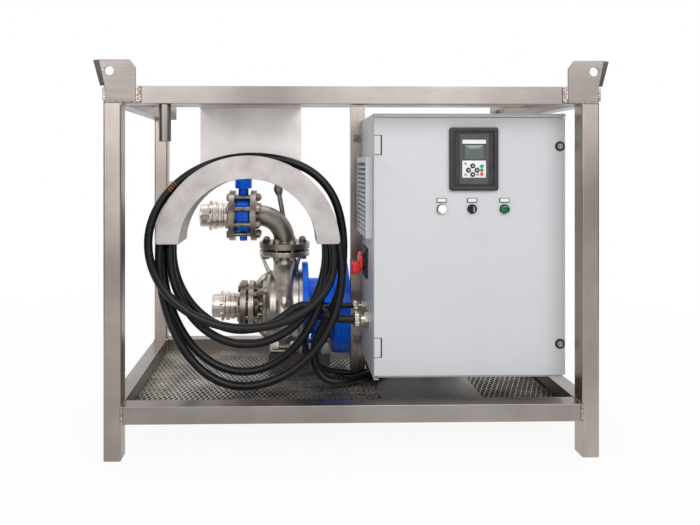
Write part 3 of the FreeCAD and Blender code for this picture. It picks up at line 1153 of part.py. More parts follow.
def coupling(name, face, height, neck, ring, collar):
    """A flanged adapter with a claw lock ring; face is the place of its flange's raised face."""
    at = (face, "pump_y", height)
    back = "(face_step + flange_thick)"
    ring_at = "(%s + %s)" % (back, neck)
    seat = "(%s + %s)" % (ring_at, ring)
    end = "(%s + %s)" % (seat, collar)
    profile = [("0", "bore_radius"), ("0", "face_radius"), ("-face_step", "face_radius"),
               ("-face_step", "flange_radius"), ("-" + back, "flange_radius"), ("-" + back, "coupling_neck"),
               ("-" + ring_at, "coupling_neck")]
    for groove in range(3):
        start = "%s + %s * %d / 3" % (ring_at, ring, groove)
        profile += [("-(%s)" % start, "ring_radius"), ("-(%s + %s * 0.22)" % (start, ring), "ring_radius")]
        if groove < 2:
            profile += [("-(%s + %s * 0.22)" % (start, ring), "ring_radius - 4"),
                        ("-(%s + %s / 3)" % (start, ring), "ring_radius - 4")]
    profile += [("-" + seat, "ring_radius"), ("-" + seat, "spigot_radius"), ("-(%s - 4)" % end, "spigot_radius"),
                ("-(%s - 4)" % end, "bore_radius")]
    adapter = turned(name + "_adapter_body", "x", profile, at)
    plane_holes = ring_of_holes(adapter, name + "_adapter_holes", "YZ_Plane", "bolt_ring", "bolt_hole / 2",
                                "bolt_count", "22.5")
    node(cut(name + "_adapter", plane_holes, cylinder(name + "_bore_tool", "bore_radius", "face_step", at, "x")))
    inner = "spigot_radius + running_fit"
    collar_body = turned(name + "_collar", "x", [
        ("-(%s + 0.5)" % seat, inner), ("-(%s + 0.5)" % seat, "collar_radius - 2"),
        ("-(%s + 3)" % seat, "collar_radius"), ("-(%s + %s * 0.3)" % (seat, collar), "collar_radius"),
        ("-(%s + %s * 0.3)" % (seat, collar), "collar_radius - 3"),
        ("-(%s - 5)" % end, "collar_radius - 3"), ("-" + end, "collar_radius - 5"), ("-" + end, inner)], at)
    ears = []
    for number, way in enumerate((1, -1)):
        ears.append(padded("%s_claw_%d" % (name, number), "YZ_Plane", [
            ("-ear_wide / 2", "%d * (collar_radius - 6)" % way), ("ear_wide / 2", "%d * (collar_radius - 6)" % way),
            ("ear_wide * 0.35", "%d * ear_out" % way), ("-ear_wide * 0.35", "%d * ear_out" % way)],
            "ear_long", ("%s - (%s + 3) - ear_long" % (face, seat), "pump_y", height)))
    node(fuse(name + "_lock_ring", [collar_body] + ears))


def butterfly_valve():
    middle = "(%s + valve_wide / 2)" % VALVE_LEFT
    ring = turned("valve_ring", "x", [
        ("0", "valve_bore"), ("0", "valve_outer - 6"), ("6", "valve_outer"), ("valve_wide - 6", "valve_outer"),
        ("valve_wide", "valve_outer - 6"), ("valve_wide", "valve_bore")], (VALVE_LEFT, "pump_y", LINE_Z))
    low_neck = cylinder("valve_low_neck", "valve_neck_low", "valve_neck_top - valve_outer + 8",
                        (middle, "pump_y", LINE_Z + " + valve_outer - 8"))
    high_neck = cylinder("valve_high_neck", "valve_neck", "valve_neck_top - flange_radius - 8",
                         (middle, "pump_y", LINE_Z + " + flange_radius + 8"))
    head = cylinder("valve_head", "valve_top", "valve_top_thick",
                    (middle, "pump_y", LINE_Z + " + valve_neck_top - valve_top_thick"))
    boss = cylinder("valve_boss", "stem_radius + 7", "flange_radius - valve_outer + 8",
                    (middle, "pump_y", LINE_Z + " - flange_radius"))
    stem_bore = cylinder("valve_stem_bore", "stem_radius + running_fit", "valve_neck_top + flange_radius - 12",
                         (middle, "pump_y", LINE_Z + " - flange_radius + 14"))
    bore = cylinder("valve_bore_tool", "valve_bore", "valve_wide + 4", (VALVE_LEFT + " - 2", "pump_y", LINE_Z), "x")
    solid = fuse("valve_solid", [ring, low_neck, high_neck, head, boss])
    node(cut("valve_body", solid, fuse("valve_bores", [stem_bore, bore])))
    plate = cylinder("valve_plate", "valve_bore - disc_clear", "disc_plate", (middle, "pump_y - disc_plate / 2", LINE_Z),
                     "y")
    stem = cylinder("valve_stem", "stem_radius", "valve_neck_top + flange_radius + 10",
                    (middle, "pump_y", LINE_Z + " - flange_radius + 16"))
    node(fuse("valve_disc", [plate, stem]))
    top = "(%s + valve_neck_top + 0.5)" % LINE_Z
    lever = padded("lever_bar", "XZ_Plane", [
        ("18", "0"), ("18", "lever_thick"), ("-lever_long * 0.28", "lever_thick"),
        ("-lever_long * 0.4", "lever_thick + lever_rise"), ("-lever_long", "lever_thick + lever_rise"),
        ("-lever_long", "lever_rise"), ("-lever_long * 0.42", "lever_rise"), ("-lever_long * 0.3", "0")],
        "lever_wide", (middle, "pump_y + lever_wide / 2", top))
    lever_bore = cylinder("lever_bore", "stem_radius", "2 * lever_thick", (middle, "pump_y", top + " - 2"))
    node(cut("valve_lever", lever, lever_bore))


def joints_and_bolts():
    suction_gasket = turned("suction_gasket", "x", sleeve("face_radius", "bore_radius", "-gasket", "0"),
                            ("suction_face - face_step", "pump_y", "pump_z"))
    outlet_gasket = turned("outlet_gasket", "z", sleeve("face_radius", "bore_radius", "0", "gasket"),
                           ("outlet_x", "pump_y", OUTLET + " + face_step"))
    node(group("flange_gaskets", [suction_gasket, outlet_gasket]))
    grip = JOINT
    suction = bolt_ring("suction_bolts", "YZ_Plane", "bolt_ring", "bolt_count", "22.5", "0", grip,
                        ("suction_face + flange_thick - %s" % JOINT, "pump_y", "pump_z"))
    outlet = bolt_ring("outlet_bolts", "XY_Plane", "bolt_ring", "bolt_count", "22.5", "0", grip,
                       ("outlet_x", "pump_y", OUTLET + " - flange_thick"))
    wafer = bolt_ring("valve_bolts", "YZ_Plane", "bolt_ring", "bolt_count", "22.5", "0",
                      "(2 * flange_thick + 2 * face_step + valve_wide)",
                      (VALVE_LEFT + " - face_step - flange_thick", "pump_y", LINE_Z))
    node(group("flange_bolts", [suction, outlet, wafer]))


discharge_elbow()
coupling("suction", "suction_face - face_step - gasket", "pump_z", "suction_neck_run", "suction_ring",
         "suction_collar")
coupling("discharge", VALVE_LEFT, LINE_Z, "upper_neck_run", "upper_ring", "upper_collar")
butterfly_valve()
joints_and_bolts()


# Cables

SUPPLY_LEAD = [(25, -120, 340), (-60, -120, 340)]
SUPPLY_TAIL = [
    (-90, -77, 286), (-102, -77, 208), (-88, -80, 158), (-54, -86, 127), (2, -78, 124.5), (54, -48, 124.5),
    (98, -8, 124.5), (136, 34, 124.5), (166, 76, 126), (196, 108, 132), (230, 126, 141), (264, 132, 146.8),
    (296, 132, 146.8),
]
MOTOR_LEAD = [
    (31, -42, 366), (-20, -42, 366), (-72, -40, 356), (-112, -34, 322), (-130, -26, 270), (-128, -16, 216),
    (-104, -4, 170), (-66, 8, 138), (-20, 16, 124), (32, 20, 119.5), (78, 26, 119.5), (108, 48, 119.5),
    (116, 88, 119.5), (116, 130, 119.5), (126, 172, 119.5), (142, 212, 119.5), (156, 250, 123),
    (166, 275, 136), (176, 291, 164), (183, 305, 206), (188, 316, 258), (190, 328, 316), (187, 331, 374),
    (181, 318, 418), (177, 288, 438), (177, 255, 438),
]


def cord_path(points, label):
    """Straight runs joined by tangent arcs, each as large as 0.45 of its shorter run allows."""
    spots = [Vector(*point) for point in points]
    edges = []
    start = spots[0]
    radii = []
    for index in range(1, len(spots) - 1):
        before = (spots[index - 1] - spots[index])
        after = (spots[index + 1] - spots[index])
        shorter = min(before.Length, after.Length)
        before.normalize()
        after.normalize()
        turn_by = math.pi - before.getAngle(after)
        reach = 0.45 * shorter
        radii.append(reach / math.tan(turn_by / 2))
        enter = spots[index] + before * reach
        leave = spots[index] + after * reach
        inward = before + after
        inward.normalize()
        middle = spots[index] + inward * (math.hypot(radii[-1], reach) - radii[-1])
        edges.append(Part.LineSegment(start, enter).toShape())
        edges.append(Part.Arc(enter, middle, leave).toShape())
        start = leave
    edges.append(Part.LineSegment(start, spots[-1]).toShape())
    print(label, "radii", [round(radius) for radius in radii])
    return Part.Wire(edges)


def cord_solid(points, diameter, label):
    path = cord_path(points, label)
    ring = Part.Circle(Vector(*points[0]), Vector(*points[1]) - Vector(*points[0]), diameter / 2)
    tube = path.makePipeShell([Part.Wire(ring.toShape())], True, False)
    expected = math.pi * diameter ** 2 / 4 * path.Length
    print(label, "length %.0f, volume %.4f of section x length" % (path.Length, tube.Volume / expected))
    return tube


def closed_curve(points, depth):
    curve = Part.BSplineCurve()
    curve.interpolate([Vector(across, depth, up) for across, up in points], PeriodicFlag=True)
    return Part.Wire(curve.toShape())


COIL_OUTER = [
    (-299, 874), (-448, 843), (-551, 781), (-619, 704), (-649, 590), (-634, 471), (-613, 342),
    (-562, 244), (-474, 167), (-340, 118), (-216, 138), (-113, 203), (-40, 296), (-4, 394), (5, 487),
    (3, 564), (-14, 667), (-22, 730), (-45, 786), (-97, 828), (-164, 850),
]
COIL_INNER_LOW = [(-76, 500), (-98, 440), (-150, 380), (-225, 340), (-309, 326), (-393, 340), (-465, 385),
                  (-520, 450), (-541, 515)]


def coil_solid():
    """The outer shape of the hanging coil: a flat loop that rests on the drum."""
    front, deep = size("coil_front"), size("coil_back - coil_front")
    outer = Part.Face(closed_curve(COIL_OUTER, front))
    radius = size("drum_inner + drum_sheet + coil_gap")
    middle = Vector(size("saddle_centre"), front, size("saddle_height"))
    left = middle - Vector(radius, 0, 0)
    right = middle + Vector(radius, 0, 0)
    crown = Part.Arc(left, middle + Vector(0, 0, radius), right).toShape()
    lower = Part.BSplineCurve()
    lower.interpolate([right] + [Vector(across, front, up) for across, up in COIL_INNER_LOW] + [left])
    hole = Part.Face(Part.Wire([crown, lower.toShape()]))
    return outer.cut(hole).extrude(Vector(0, deep, 0))


def cables():
    coil = coil_solid()
    supply = size("supply_cable")
    solids = {
        "supply_coil": coil,
        "supply_lead": cord_solid(SUPPLY_LEAD, supply, "supply_lead").cut(coil),
        "supply_tail": cord_solid(SUPPLY_TAIL, supply, "supply_tail").cut(coil),
        "motor_lead": cord_solid(MOTOR_LEAD, size("motor_cable"), "motor_lead"),
    }
    for name, solid in solids.items():
        cable = doc.addObject("Part::Feature", name)
        cable.Shape = solid
        node(cable)
    end = SUPPLY_TAIL[-1]
    node(turned("supply_plug", "x", [
        ("0", "supply_cable / 2"), ("10", "supply_cable / 2 + 5"), ("14", "plug_radius * 0.62"),
        ("plug_long * 0.55", "plug_radius * 0.75"), ("plug_long * 0.6", "plug_radius"),
        ("plug_long * 0.66", "plug_radius"), ("plug_long * 0.68", "plug_radius * 0.86"),
        ("plug_long", "plug_radius * 0.86"), ("plug_long", "plug_radius * 0.76"),
        ("plug_long * 0.72", "plug_radius * 0.76"), ("plug_long * 0.72", "0"), ("0", "0")],
        (str(end[0]), str(end[1]), str(end[2]))))


cables()


# Checks and export

doc.recompute()
for item in doc.Objects:
    if "Invalid" in item.State or "Error" in item.State:
        raise RuntimeError("%s did not build: %s" % (item.Name, item.getStatusString()))
for item in NODES:
    if item.Shape.isNull() or not item.Shape.isValid():
        raise RuntimeError("%s has no sound shape" % item.Label)

os.makedirs("parts", exist_ok=True)
for item in NODES:
    item.Shape.exportStep("parts/%s.step" % item.Label)
    print("%-20s %3d solids %12.0f mm3" % (item.Label, len(item.Shape.Solids), item.Shape.Volume))
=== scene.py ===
# %% [markdown]
# # A pump unit in its lifting frame
# The solids arrive from the CAD model as a fixed frame. This lesson gives them their surfaces, and adds
# the pieces that are easier to shape here: cables, weld beads, the expanded metal of the floor and the
# small fittings. All lengths are metres, with x to the right, y to the back and z up.

# %% Load the solids
import bpy
import bmesh
import math
import numpy as np
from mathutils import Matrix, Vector


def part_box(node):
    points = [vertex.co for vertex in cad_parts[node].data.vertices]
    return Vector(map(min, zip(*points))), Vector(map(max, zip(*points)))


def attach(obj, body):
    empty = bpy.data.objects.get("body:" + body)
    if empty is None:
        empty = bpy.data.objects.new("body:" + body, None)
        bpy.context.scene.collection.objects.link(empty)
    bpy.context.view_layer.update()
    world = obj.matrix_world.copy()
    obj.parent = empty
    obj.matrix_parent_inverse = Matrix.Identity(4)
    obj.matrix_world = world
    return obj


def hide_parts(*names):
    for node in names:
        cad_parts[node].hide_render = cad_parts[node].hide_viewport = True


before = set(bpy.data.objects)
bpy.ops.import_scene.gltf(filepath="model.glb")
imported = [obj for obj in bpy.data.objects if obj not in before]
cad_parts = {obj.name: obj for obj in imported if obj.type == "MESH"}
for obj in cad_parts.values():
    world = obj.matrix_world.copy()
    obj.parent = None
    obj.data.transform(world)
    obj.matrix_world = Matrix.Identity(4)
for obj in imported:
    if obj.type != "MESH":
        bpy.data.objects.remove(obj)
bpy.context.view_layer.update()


def placed(name, data):
    """A new object in the scene that shows this mesh, curve, lamp or camera."""
    thing = bpy.data.objects.new(name, data)
    bpy.context.scene.collection.objects.link(thing)
    return thing


# %% [markdown]
# ## The camera
# The upright edges stay parallel in the picture, so the camera is level and looks straight ahead. Its
# lens is shifted, which moves the picture without turning the camera.

# %% Camera
camera_data = bpy.data.cameras.new("view")
camera_data.sensor_width = 36
camera_data.lens = 30.86
camera_data.shift_x = 0.073
camera_data.shift_y = -0.141
camera = placed("view", camera_data)
camera.location = (-0.185, -2.047, 0.840)
camera.rotation_euler = (math.radians(90), 0, math.radians(-1.05))
bpy.context.scene.camera = camera
bpy.context.scene.view_settings.view_transform = "Standard"
print("lens", camera_data.lens, "mm")

# %% [markdown]
# ## Writing a mesh from arrays
# Nearly every fitting here is a loft: a stack of closed rings joined by four-sided faces. A turned shape
# is a loft of circles, a plate a loft of its outline, a bar a loft of its section. So one writer is enough.


# %% The loft writer
def loft_faces(rings, points):
    """Faces between neighbouring rings: corner (i, j), (i, j+1), (i+1, j+1), (i+1, j), j going round."""
    row = np.arange(rings - 1)[:, None] * points
    here = np.arange(points)[None, :]
    after = (here + 1) % points
    corners = [row + here, row + after, row + points + after, row + points + here]
    return np.stack(corners, axis=-1).reshape(-1, 4)


def shaded(mesh, material, angle):
    """Smooth faces with one material; an edge over the angle (degrees) stays sharp."""
    mesh.polygons.foreach_set("use_smooth", np.ones(len(mesh.polygons), bool))
    mesh.set_sharp_from_angle(angle=math.radians(angle))
    mesh.materials.clear()
    mesh.materials.append(material)


def write_piece(name, lofts, material, body="unit", smooth=40):
    """Joins lofts, each an array (rings, points, 3), in one mesh; doubles are merged, faces turned out."""
    corners, faces, start = [], [], 0
    for loft in lofts:
        corners.append(loft.reshape(-1, 3))
        faces.append(loft_faces(*loft.shape[:2]) + start)
        start += len(corners[-1])
    mesh = bpy.data.meshes.new(name)
    mesh.from_pydata(np.concatenate(corners), [], np.concatenate(faces))
    work = bmesh.new()
    work.from_mesh(mesh)
    bmesh.ops.remove_doubles(work, verts=work.verts, dist=1e-6)
    bmesh.ops.dissolve_degenerate(work, edges=work.edges, dist=1e-7)
    bmesh.ops.recalc_face_normals(work, faces=work.faces)
    work.to_mesh(mesh)
    work.free()
    shaded(mesh, material, smooth)
    piece = placed(name, mesh)
    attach(piece, body)
    print(name, len(mesh.polygons), "faces")
    return piece


# %% [markdown]
# Three ways to make the rings: circles round an axis, an outline pushed in and out, and a section carried
# along a path. Each works on whole arrays.

# %% Ring makers
AXES = {"x": np.array([[0, 1, 0], [0, 0, 1], [1, 0, 0]], float),
        "y": np.array([[1, 0, 0], [0, 0, 1], [0, 1, 0]], float),
        "z": np.array([[1, 0, 0], [0, 1, 0], [0, 0, 1]], float)}


def round_angles(count):
    """Angles spaced evenly once round a circle."""
    return np.linspace(0, 2 * math.pi, count, endpoint=False)


def unit_long(vectors):
    """Each vector divided by its length."""
    return vectors / np.linalg.norm(vectors, axis=-1, keepdims=True)


def closed(profile):
    """Adds points of no radius at both ends, so that the turned shape is shut."""
    return [(profile[0][0], 0.0)] + list(profile) + [(profile[-1][0], 0.0)]


def turned(profile, centre, axis="x", sides=48):
    """Point = centre + along * axis + radius * (cos a, sin a), for each (along, radius) of the profile."""
    profile = np.asarray(profile, float)
    across, up, out = AXES[axis]
    angle = round_angles(sides)
    circle = np.cos(angle)[:, None] * across + np.sin(angle)[:, None] * up
    return np.asarray(centre, float) + profile[:, 0, None, None] * out + profile[:, 1, None, None] * circle


def knob(profile, centre, axis="y", sides=24):
    """A turned shape that is shut at both ends."""
    return turned(closed(profile), centre, axis, sides)


def ring_tube(profile, centre, axis="x", sides=48):
    """A turned shape whose profile is itself a closed loop, such as a washer or a collar."""
    return turned(list(profile) + [profile[0]], centre, axis, sides)


def rounded_outline(wide, high, corner, steps=6):
    """A rectangle with quarter-circle corners: corner centre + corner * (cos a, sin a)."""
    quarter = np.linspace(0, math.pi / 2, steps)
    angle = quarter[None, :] + np.arange(4)[:, None] * math.pi / 2
    signs = np.array([(1, 1), (-1, 1), (-1, -1), (1, -1)], float)
    centre = signs * (np.array([wide, high]) / 2 - corner)
    loop = centre[:, None, :] + corner * np.stack([np.cos(angle), np.sin(angle)], axis=-1)
    return loop.reshape(-1, 2)


def pressed(outline, layers, centre, axis="y"):
    """Stacks an outline: each layer (height, scale) puts centre + height * axis + scale * outline."""
    across, up, out = AXES[axis]
    outline = np.asarray(outline, float)
    flat = outline[:, 0, None] * across + outline[:, 1, None] * up
    layers = np.asarray(layers, float)
    return np.asarray(centre, float) + layers[:, 0, None, None] * out + layers[:, 1, None, None] * flat


def carried(path, section, upward):
    """A section carried along a path: path + u * side + v * top, where side = direction x upward."""
    ahead = unit_long(np.gradient(path, axis=0))
    side = unit_long(np.cross(ahead, upward))
    top = np.cross(side, ahead)
    along_side = section[None, :, 0, None] * side[:, None]
    return path[:, None] + along_side + section[None, :, 1, None] * top[:, None]


def capped(loft):
    """Shuts a loft's two ends with a ring of no size at each end's middle."""
    first = np.repeat(loft[:1].mean(axis=1, keepdims=True), loft.shape[1], axis=1)
    last = np.repeat(loft[-1:].mean(axis=1, keepdims=True), loft.shape[1], axis=1)
    return np.concatenate([first, loft, last])


print("ring makers ready")

# %% [markdown]
# ## Surfaces
# Each finish is built from the same few nodes: Object coordinates, a stretched noise for its grain, a
# slower noise for its colour, and a bump. Colours are written as eight-bit values and turned into the
# linear values that the shader wants.


# %% Shader helpers
def linear(red, green, blue):
    """sRGB to linear: ((c + 0.055) / 1.055) ** 2.4 above a small toe."""
    shades = np.array([red, green, blue]) / 255
    low = shades / 12.92
    high = ((shades + 0.055) / 1.055) ** 2.4
    return tuple(float(v) for v in np.where(shades <= 0.04045, low, high)) + (1.0,)


def start_finish(name):
    material = bpy.data.materials.new(name)
    material.use_nodes = True
    tree = material.node_tree
    return material, tree, tree.nodes["Principled BSDF"]


def feed(tree, target, values):
    """Sets a node's inputs: a socket is linked, and a number or colour is set as it is."""
    for key, value in values.items():
        if isinstance(value, bpy.types.NodeSocket):
            tree.links.new(value, target.inputs[key])
        else:
            target.inputs[key].default_value = value


def add_node(tree, kind, values=None, **settings):
    """A new shader node with its properties set and its inputs fed."""
    made = tree.nodes.new("ShaderNode" + kind)
    for key, value in settings.items():
        setattr(made, key, value)
    feed(tree, made, values or {})
    return made


def object_place(tree, stretch=(1, 1, 1)):
    """Object coordinates, each axis multiplied by its stretch."""
    place = add_node(tree, "TexCoord").outputs["Object"]
    return add_node(tree, "Mapping", {"Vector": place, "Scale": stretch}).outputs["Vector"]


def noise(tree, scale, detail=2.0, stretch=(1, 1, 1), rough=0.5):
    values = {"Scale": scale, "Detail": detail, "Roughness": rough, "Vector": object_place(tree, stretch)}
    return add_node(tree, "TexNoise", values).outputs["Fac"]


def ramp(tree, value, low, high, first, last):
    """Maps low..high of a value to first..last, held at the ends."""
    values = {"Value": value, "From Min": low, "From Max": high, "To Min": first, "To Max": last}
    return add_node(tree, "MapRange", values).outputs["Result"]


def blend_colours(tree, value, first, last):
    return add_node(tree, "Mix", {0: value, 6: first, 7: last}, data_type="RGBA").outputs[2]


def calculated(tree, operation, first, second=0.0):
    """One Math node, whose inputs are sockets or numbers."""
    return add_node(tree, "Math", {0: first, 1: second}, operation=operation).outputs[0]


def bump(tree, shader, height, strength, depth):
    values = {"Height": height, "Strength": strength, "Distance": depth}
    feed(tree, shader, {"Normal": add_node(tree, "Bump", values).outputs["Normal"]})


def finish(name, light, dark, rough, metal=0.0, patch=8.0, grain=400.0, strength=0.15, depth=0.0003,
           rough_span=0.06, shine=0.5, coat=0.0):
    """Colour = mix(dark, light, slow noise); roughness = rough +- span * fine noise; bump = fine noise."""
    material, tree, shader = start_finish(name)
    slow = ramp(tree, noise(tree, patch, 3.0), 0.3, 0.7, 0, 1)
    fine = noise(tree, grain)
    feed(tree, shader, {"Base Color": blend_colours(tree, slow, linear(*dark), linear(*light)),
                        "Roughness": ramp(tree, fine, 0.3, 0.7, rough - rough_span, rough + rough_span),
                        "Metallic": metal, "Specular IOR Level": shine})
    if coat:
        feed(tree, shader, {"Coat Weight": coat, "Coat Roughness": 0.12})
    bump(tree, shader, fine, strength, depth)
    return material


print("shader helpers ready")

# %% [markdown]
# ### Brushed steel tube
# The tubes are ground with a belt along their length, which leaves fine lines and a soft, long sheen.
# Noise squeezed along one axis gives such lines. Where one node holds rails of both directions, the
# place decides which noise counts: beyond the side rails' inner face the lines run front to back.


# %% Brushed finishes
SIDE_RAIL = 0.6545


def brushed(name, light, dark, along, rough=0.34, grain=420.0, strength=0.10):
    """Lines along an axis: noise whose coordinate on that axis is scaled by 1/60."""
    stretches = {"x": (0.016, 1, 1), "y": (1, 0.016, 1), "z": (1, 1, 0.016)}
    material, tree, shader = start_finish(name)
    ways = [noise(tree, grain, 3.0, stretches[way], 0.6) for way in along]
    lines = ways[0]
    if len(ways) > 1:
        across = add_node(tree, "SeparateXYZ", {"Vector": object_place(tree)}).outputs["X"]
        beyond = calculated(tree, "GREATER_THAN", calculated(tree, "ABSOLUTE", across), SIDE_RAIL)
        lines = add_node(tree, "Mix", {0: beyond, 2: ways[0], 3: ways[1]}).outputs[0]
    cloud = noise(tree, 3.5, 3.0)
    clouded = blend_colours(tree, ramp(tree, cloud, 0.35, 0.7, 0, 1), linear(*dark), linear(*light))
    feed(tree, shader, {"Base Color": blend_colours(tree, ramp(tree, lines, 0.3, 0.75, 0, 0.30), clouded,
                                                    linear(*dark)),
                        "Roughness": ramp(tree, lines, 0.3, 0.7, rough - 0.05, rough + 0.09),
                        "Metallic": 1.0})
    bump(tree, shader, lines, strength, 0.0002)
    return material


# The upright and level tubes are one steel: the upright copy is written lighter, as painted light, and the
# level copy darker, as painted shade. Only their grain's direction really differs.
tube_upright = brushed("steel_tube_upright", (184, 174, 167), (146, 136, 129), "z", 0.30)
tube_level = brushed("steel_tube_level", (164, 156, 152), (130, 123, 119), "xy", 0.30)
# The bearers' steel is written much darker than the tubes': painted shade under the floor mesh.
bearer_steel = brushed("bearer_steel", (112, 106, 102), (88, 82, 78), "x", 0.45)
plate_steel = brushed("floor_plate_steel", (150, 146, 142), (112, 108, 104), "y", 0.42)
lug_steel = brushed("lug_steel", (152, 145, 142), (128, 121, 118), "x", 0.40)
lever_steel = brushed("lever_steel", (140, 132, 124), (104, 97, 90), "x", 0.36)
zinc = brushed("zinc_sheet", (196, 198, 202), (170, 173, 178), "z", 0.38)
print("brushed finishes ready")

# %% [markdown]
# ### The other metals
# The saddle is matt blasted sheet with faint clouds, the pump is cast and pickled, and the couplings are
# turned and polished. The floor mesh is raw steel in two copies: its lower layer is written darker, as
# painted shade in the openings, and its upper strands lighter, as painted light. All are metal, with the
# grain that made them.

# %% Metal finishes
# name, light and dark colour, roughness, metal, patches, grain, bump strength and depth, roughness span
saddle_sheet = finish("saddle_sheet", (192, 186, 184), (166, 160, 158), 0.50, 0.9, 14, 900, 0.08, 2e-4, 0.05)
# The hanger plate is the saddle's sheet written lighter: painted light.
hanger_sheet = finish("hanger_sheet", (234, 229, 228), (219, 214, 213), 0.50, 0.9, 9, 900, 0.06, 2e-4, 0.05)
cast_steel = finish("cast_stainless", (204, 196, 188), (140, 131, 122), 0.36, 1, 16, 520, 0.30, 5e-4, 0.10)
smooth_steel = finish("pipe_stainless", (150, 142, 135), (116, 108, 101), 0.40, 1, 14, 700, 0.06, 2e-4)
flange_steel = finish("flange_stainless", (158, 149, 142), (108, 100, 93), 0.34, 1, 18, 600, 0.12, 3e-4, 0.08)
turned_steel = finish("turned_stainless", (228, 219, 211), (186, 176, 168), 0.30, 1, 20, 500, 0.02, 1e-4,
                      0.03)
bolt_steel = finish("bolt_steel", (158, 149, 140), (92, 85, 79), 0.30, 1, 60, 500, 0.10)
# The floor mesh as a darker copy, painted shade, and its upper strands as a lighter copy, painted light.
mesh_steel = finish("mesh_steel", (150, 143, 136), (84, 79, 74), 0.38, 1, 12, 600, 0.2)
strand_steel = finish("strand_steel", (214, 208, 202), (164, 158, 152), 0.36, 1, 12, 600, 0.1)
weld_steel = finish("weld_steel", (206, 196, 188), (96, 84, 76), 0.24, 1, 150, 800, 0.3)
copper = finish("copper_wire", (206, 134, 96), (150, 84, 54), 0.28, 1, 90, 900, 0.1)
brass = finish("nickel_plate", (200, 193, 182), (150, 140, 126), 0.25, 1, 60, 700, 0.08)
print("metal finishes ready")

# %% [markdown]
# ### Paint, plastic and rubber
# Powder coat has the fine skin of an orange. Plastics differ mostly in gloss. The cable's sheath is satin
# black with a little dust, so its highlights stay long and soft.

# %% Paint and plastic finishes
cabinet_paint = finish("cabinet_paint", (199, 200, 203), (193, 195, 198), 0.42, 0, 3, 900, 0.10, 2.5e-4, 0.04)
blue_paint = finish("blue_paint", (6, 122, 254), (4, 96, 234), 0.34, 0, 24, 260, 0.16, 0.0004, shine=0.22)
black_plastic = finish("black_plastic", (56, 53, 56), (42, 39, 42), 0.44, 0, 40, 1100, 0.14, shine=0.3)
dark_plastic = finish("dark_plastic", (40, 41, 44), (28, 29, 32), 0.48, 0, 30, 900, 0.14, shine=0.3)
drive_plastic = finish("drive_plastic", (172, 175, 178), (158, 161, 164), 0.5, 0, 12, 900, 0.1)
keypad_plastic = finish("keypad_plastic", (74, 70, 74), (60, 57, 61), 0.42, 0, 30, 1200, 0.08)
grille_plastic = finish("grille_plastic", (190, 192, 193), (178, 180, 182), 0.46, 0, 18, 900, 0.08)
white_plastic = finish("white_plastic", (238, 238, 236), (226, 226, 222), 0.26, 0, 30, 900, 0.04)
green_plastic = finish("green_plastic", (0, 112, 52), (0, 70, 34), 0.20, 0, 90, 600, 0.04, shine=0.4)
red_plastic = finish("red_plastic", (252, 52, 40), (236, 34, 26), 0.30, 0, 30, 700, 0.05)
seal_rubber = finish("seal_rubber", (36, 36, 38), (26, 26, 28), 0.62, 0, 40, 900, 0.15)
sheath = finish("cable_sheath", (19, 20, 23), (11, 12, 14), 0.36, 0, 16, 1400, 0.05, 0.0002, 0.07, 0.28)
filter_wool = finish("filter_wool", (120, 122, 124), (86, 88, 90), 0.9, 0, 160, 700, 0.6, 0.002)
print("paint and plastic finishes ready")

# %% [markdown]
# ## Dressing the solids
# Every solid that stays gets the finish of its material. Only the material slots are set: the meshes
# are left as they came.

# %% Materials on the solids
DRESS = {
    tube_upright: ["corner_posts", "support_frame"],
    tube_level: ["bottom_rails", "top_rails"],
    bearer_steel: ["floor_bearers"],
    lug_steel: ["lifting_lugs"],
    mesh_steel: ["floor_mesh"],
    plate_steel: ["floor_plate"],
    saddle_sheet: ["saddle_arch"],
    hanger_sheet: ["saddle_plate"],
    cabinet_paint: ["cabinet_body", "cabinet_door"],
    bolt_steel: ["door_hinges", "wall_ears", "flange_bolts"],
    seal_rubber: ["door_seal", "flange_gaskets"],
    zinc: ["mounting_plate"],
    drive_plastic: ["drive_unit"],
    black_plastic: ["keypad_bezel", "selector_knob", "upper_lock", "lower_lock", "door_bezels",
                    "key_up", "key_down", "key_left", "key_right"],
    white_plastic: ["push_button"],
    keypad_plastic: ["keypad"],
    green_plastic: ["key_start", "green_lamp"],
    red_plastic: ["key_stop", "isolator_handle"],
    grille_plastic: ["filter_fan_frame"],
    dark_plastic: ["filter_fan", "isolator_plate", "motor_fan_wheel", "supply_plug"],
    cast_steel: ["pump_casing", "casing_cover", "impeller", "valve_disc"],
    flange_steel: ["suction_adapter", "discharge_adapter"],
    smooth_steel: ["discharge_elbow"],
    turned_steel: ["suction_lock_ring", "discharge_lock_ring", "pump_shaft"],
    brass: ["cable_glands"],
    blue_paint: ["lantern", "motor_housing", "terminal_box", "valve_body"],
    lever_steel: ["valve_lever"],
}
for material, names in DRESS.items():
    for name in names:
        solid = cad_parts[name]
        solid.data.materials.clear()
        solid.data.materials.append(material)
print("dressed", sum(len(names) for names in DRESS.values()), "solids")

# %% [markdown]
# ## The cables
# The heavy supply cable leaves the lower gland, hangs in five turns over the saddle's drum and ends in a
# plug behind the cabinet. It is one smooth curve. Each turn is four quarter ellipses between a lowest,
# leftmost, highest and rightmost place, and the depth changes softly between them, so that the turns
# lie beside each other without crossing.

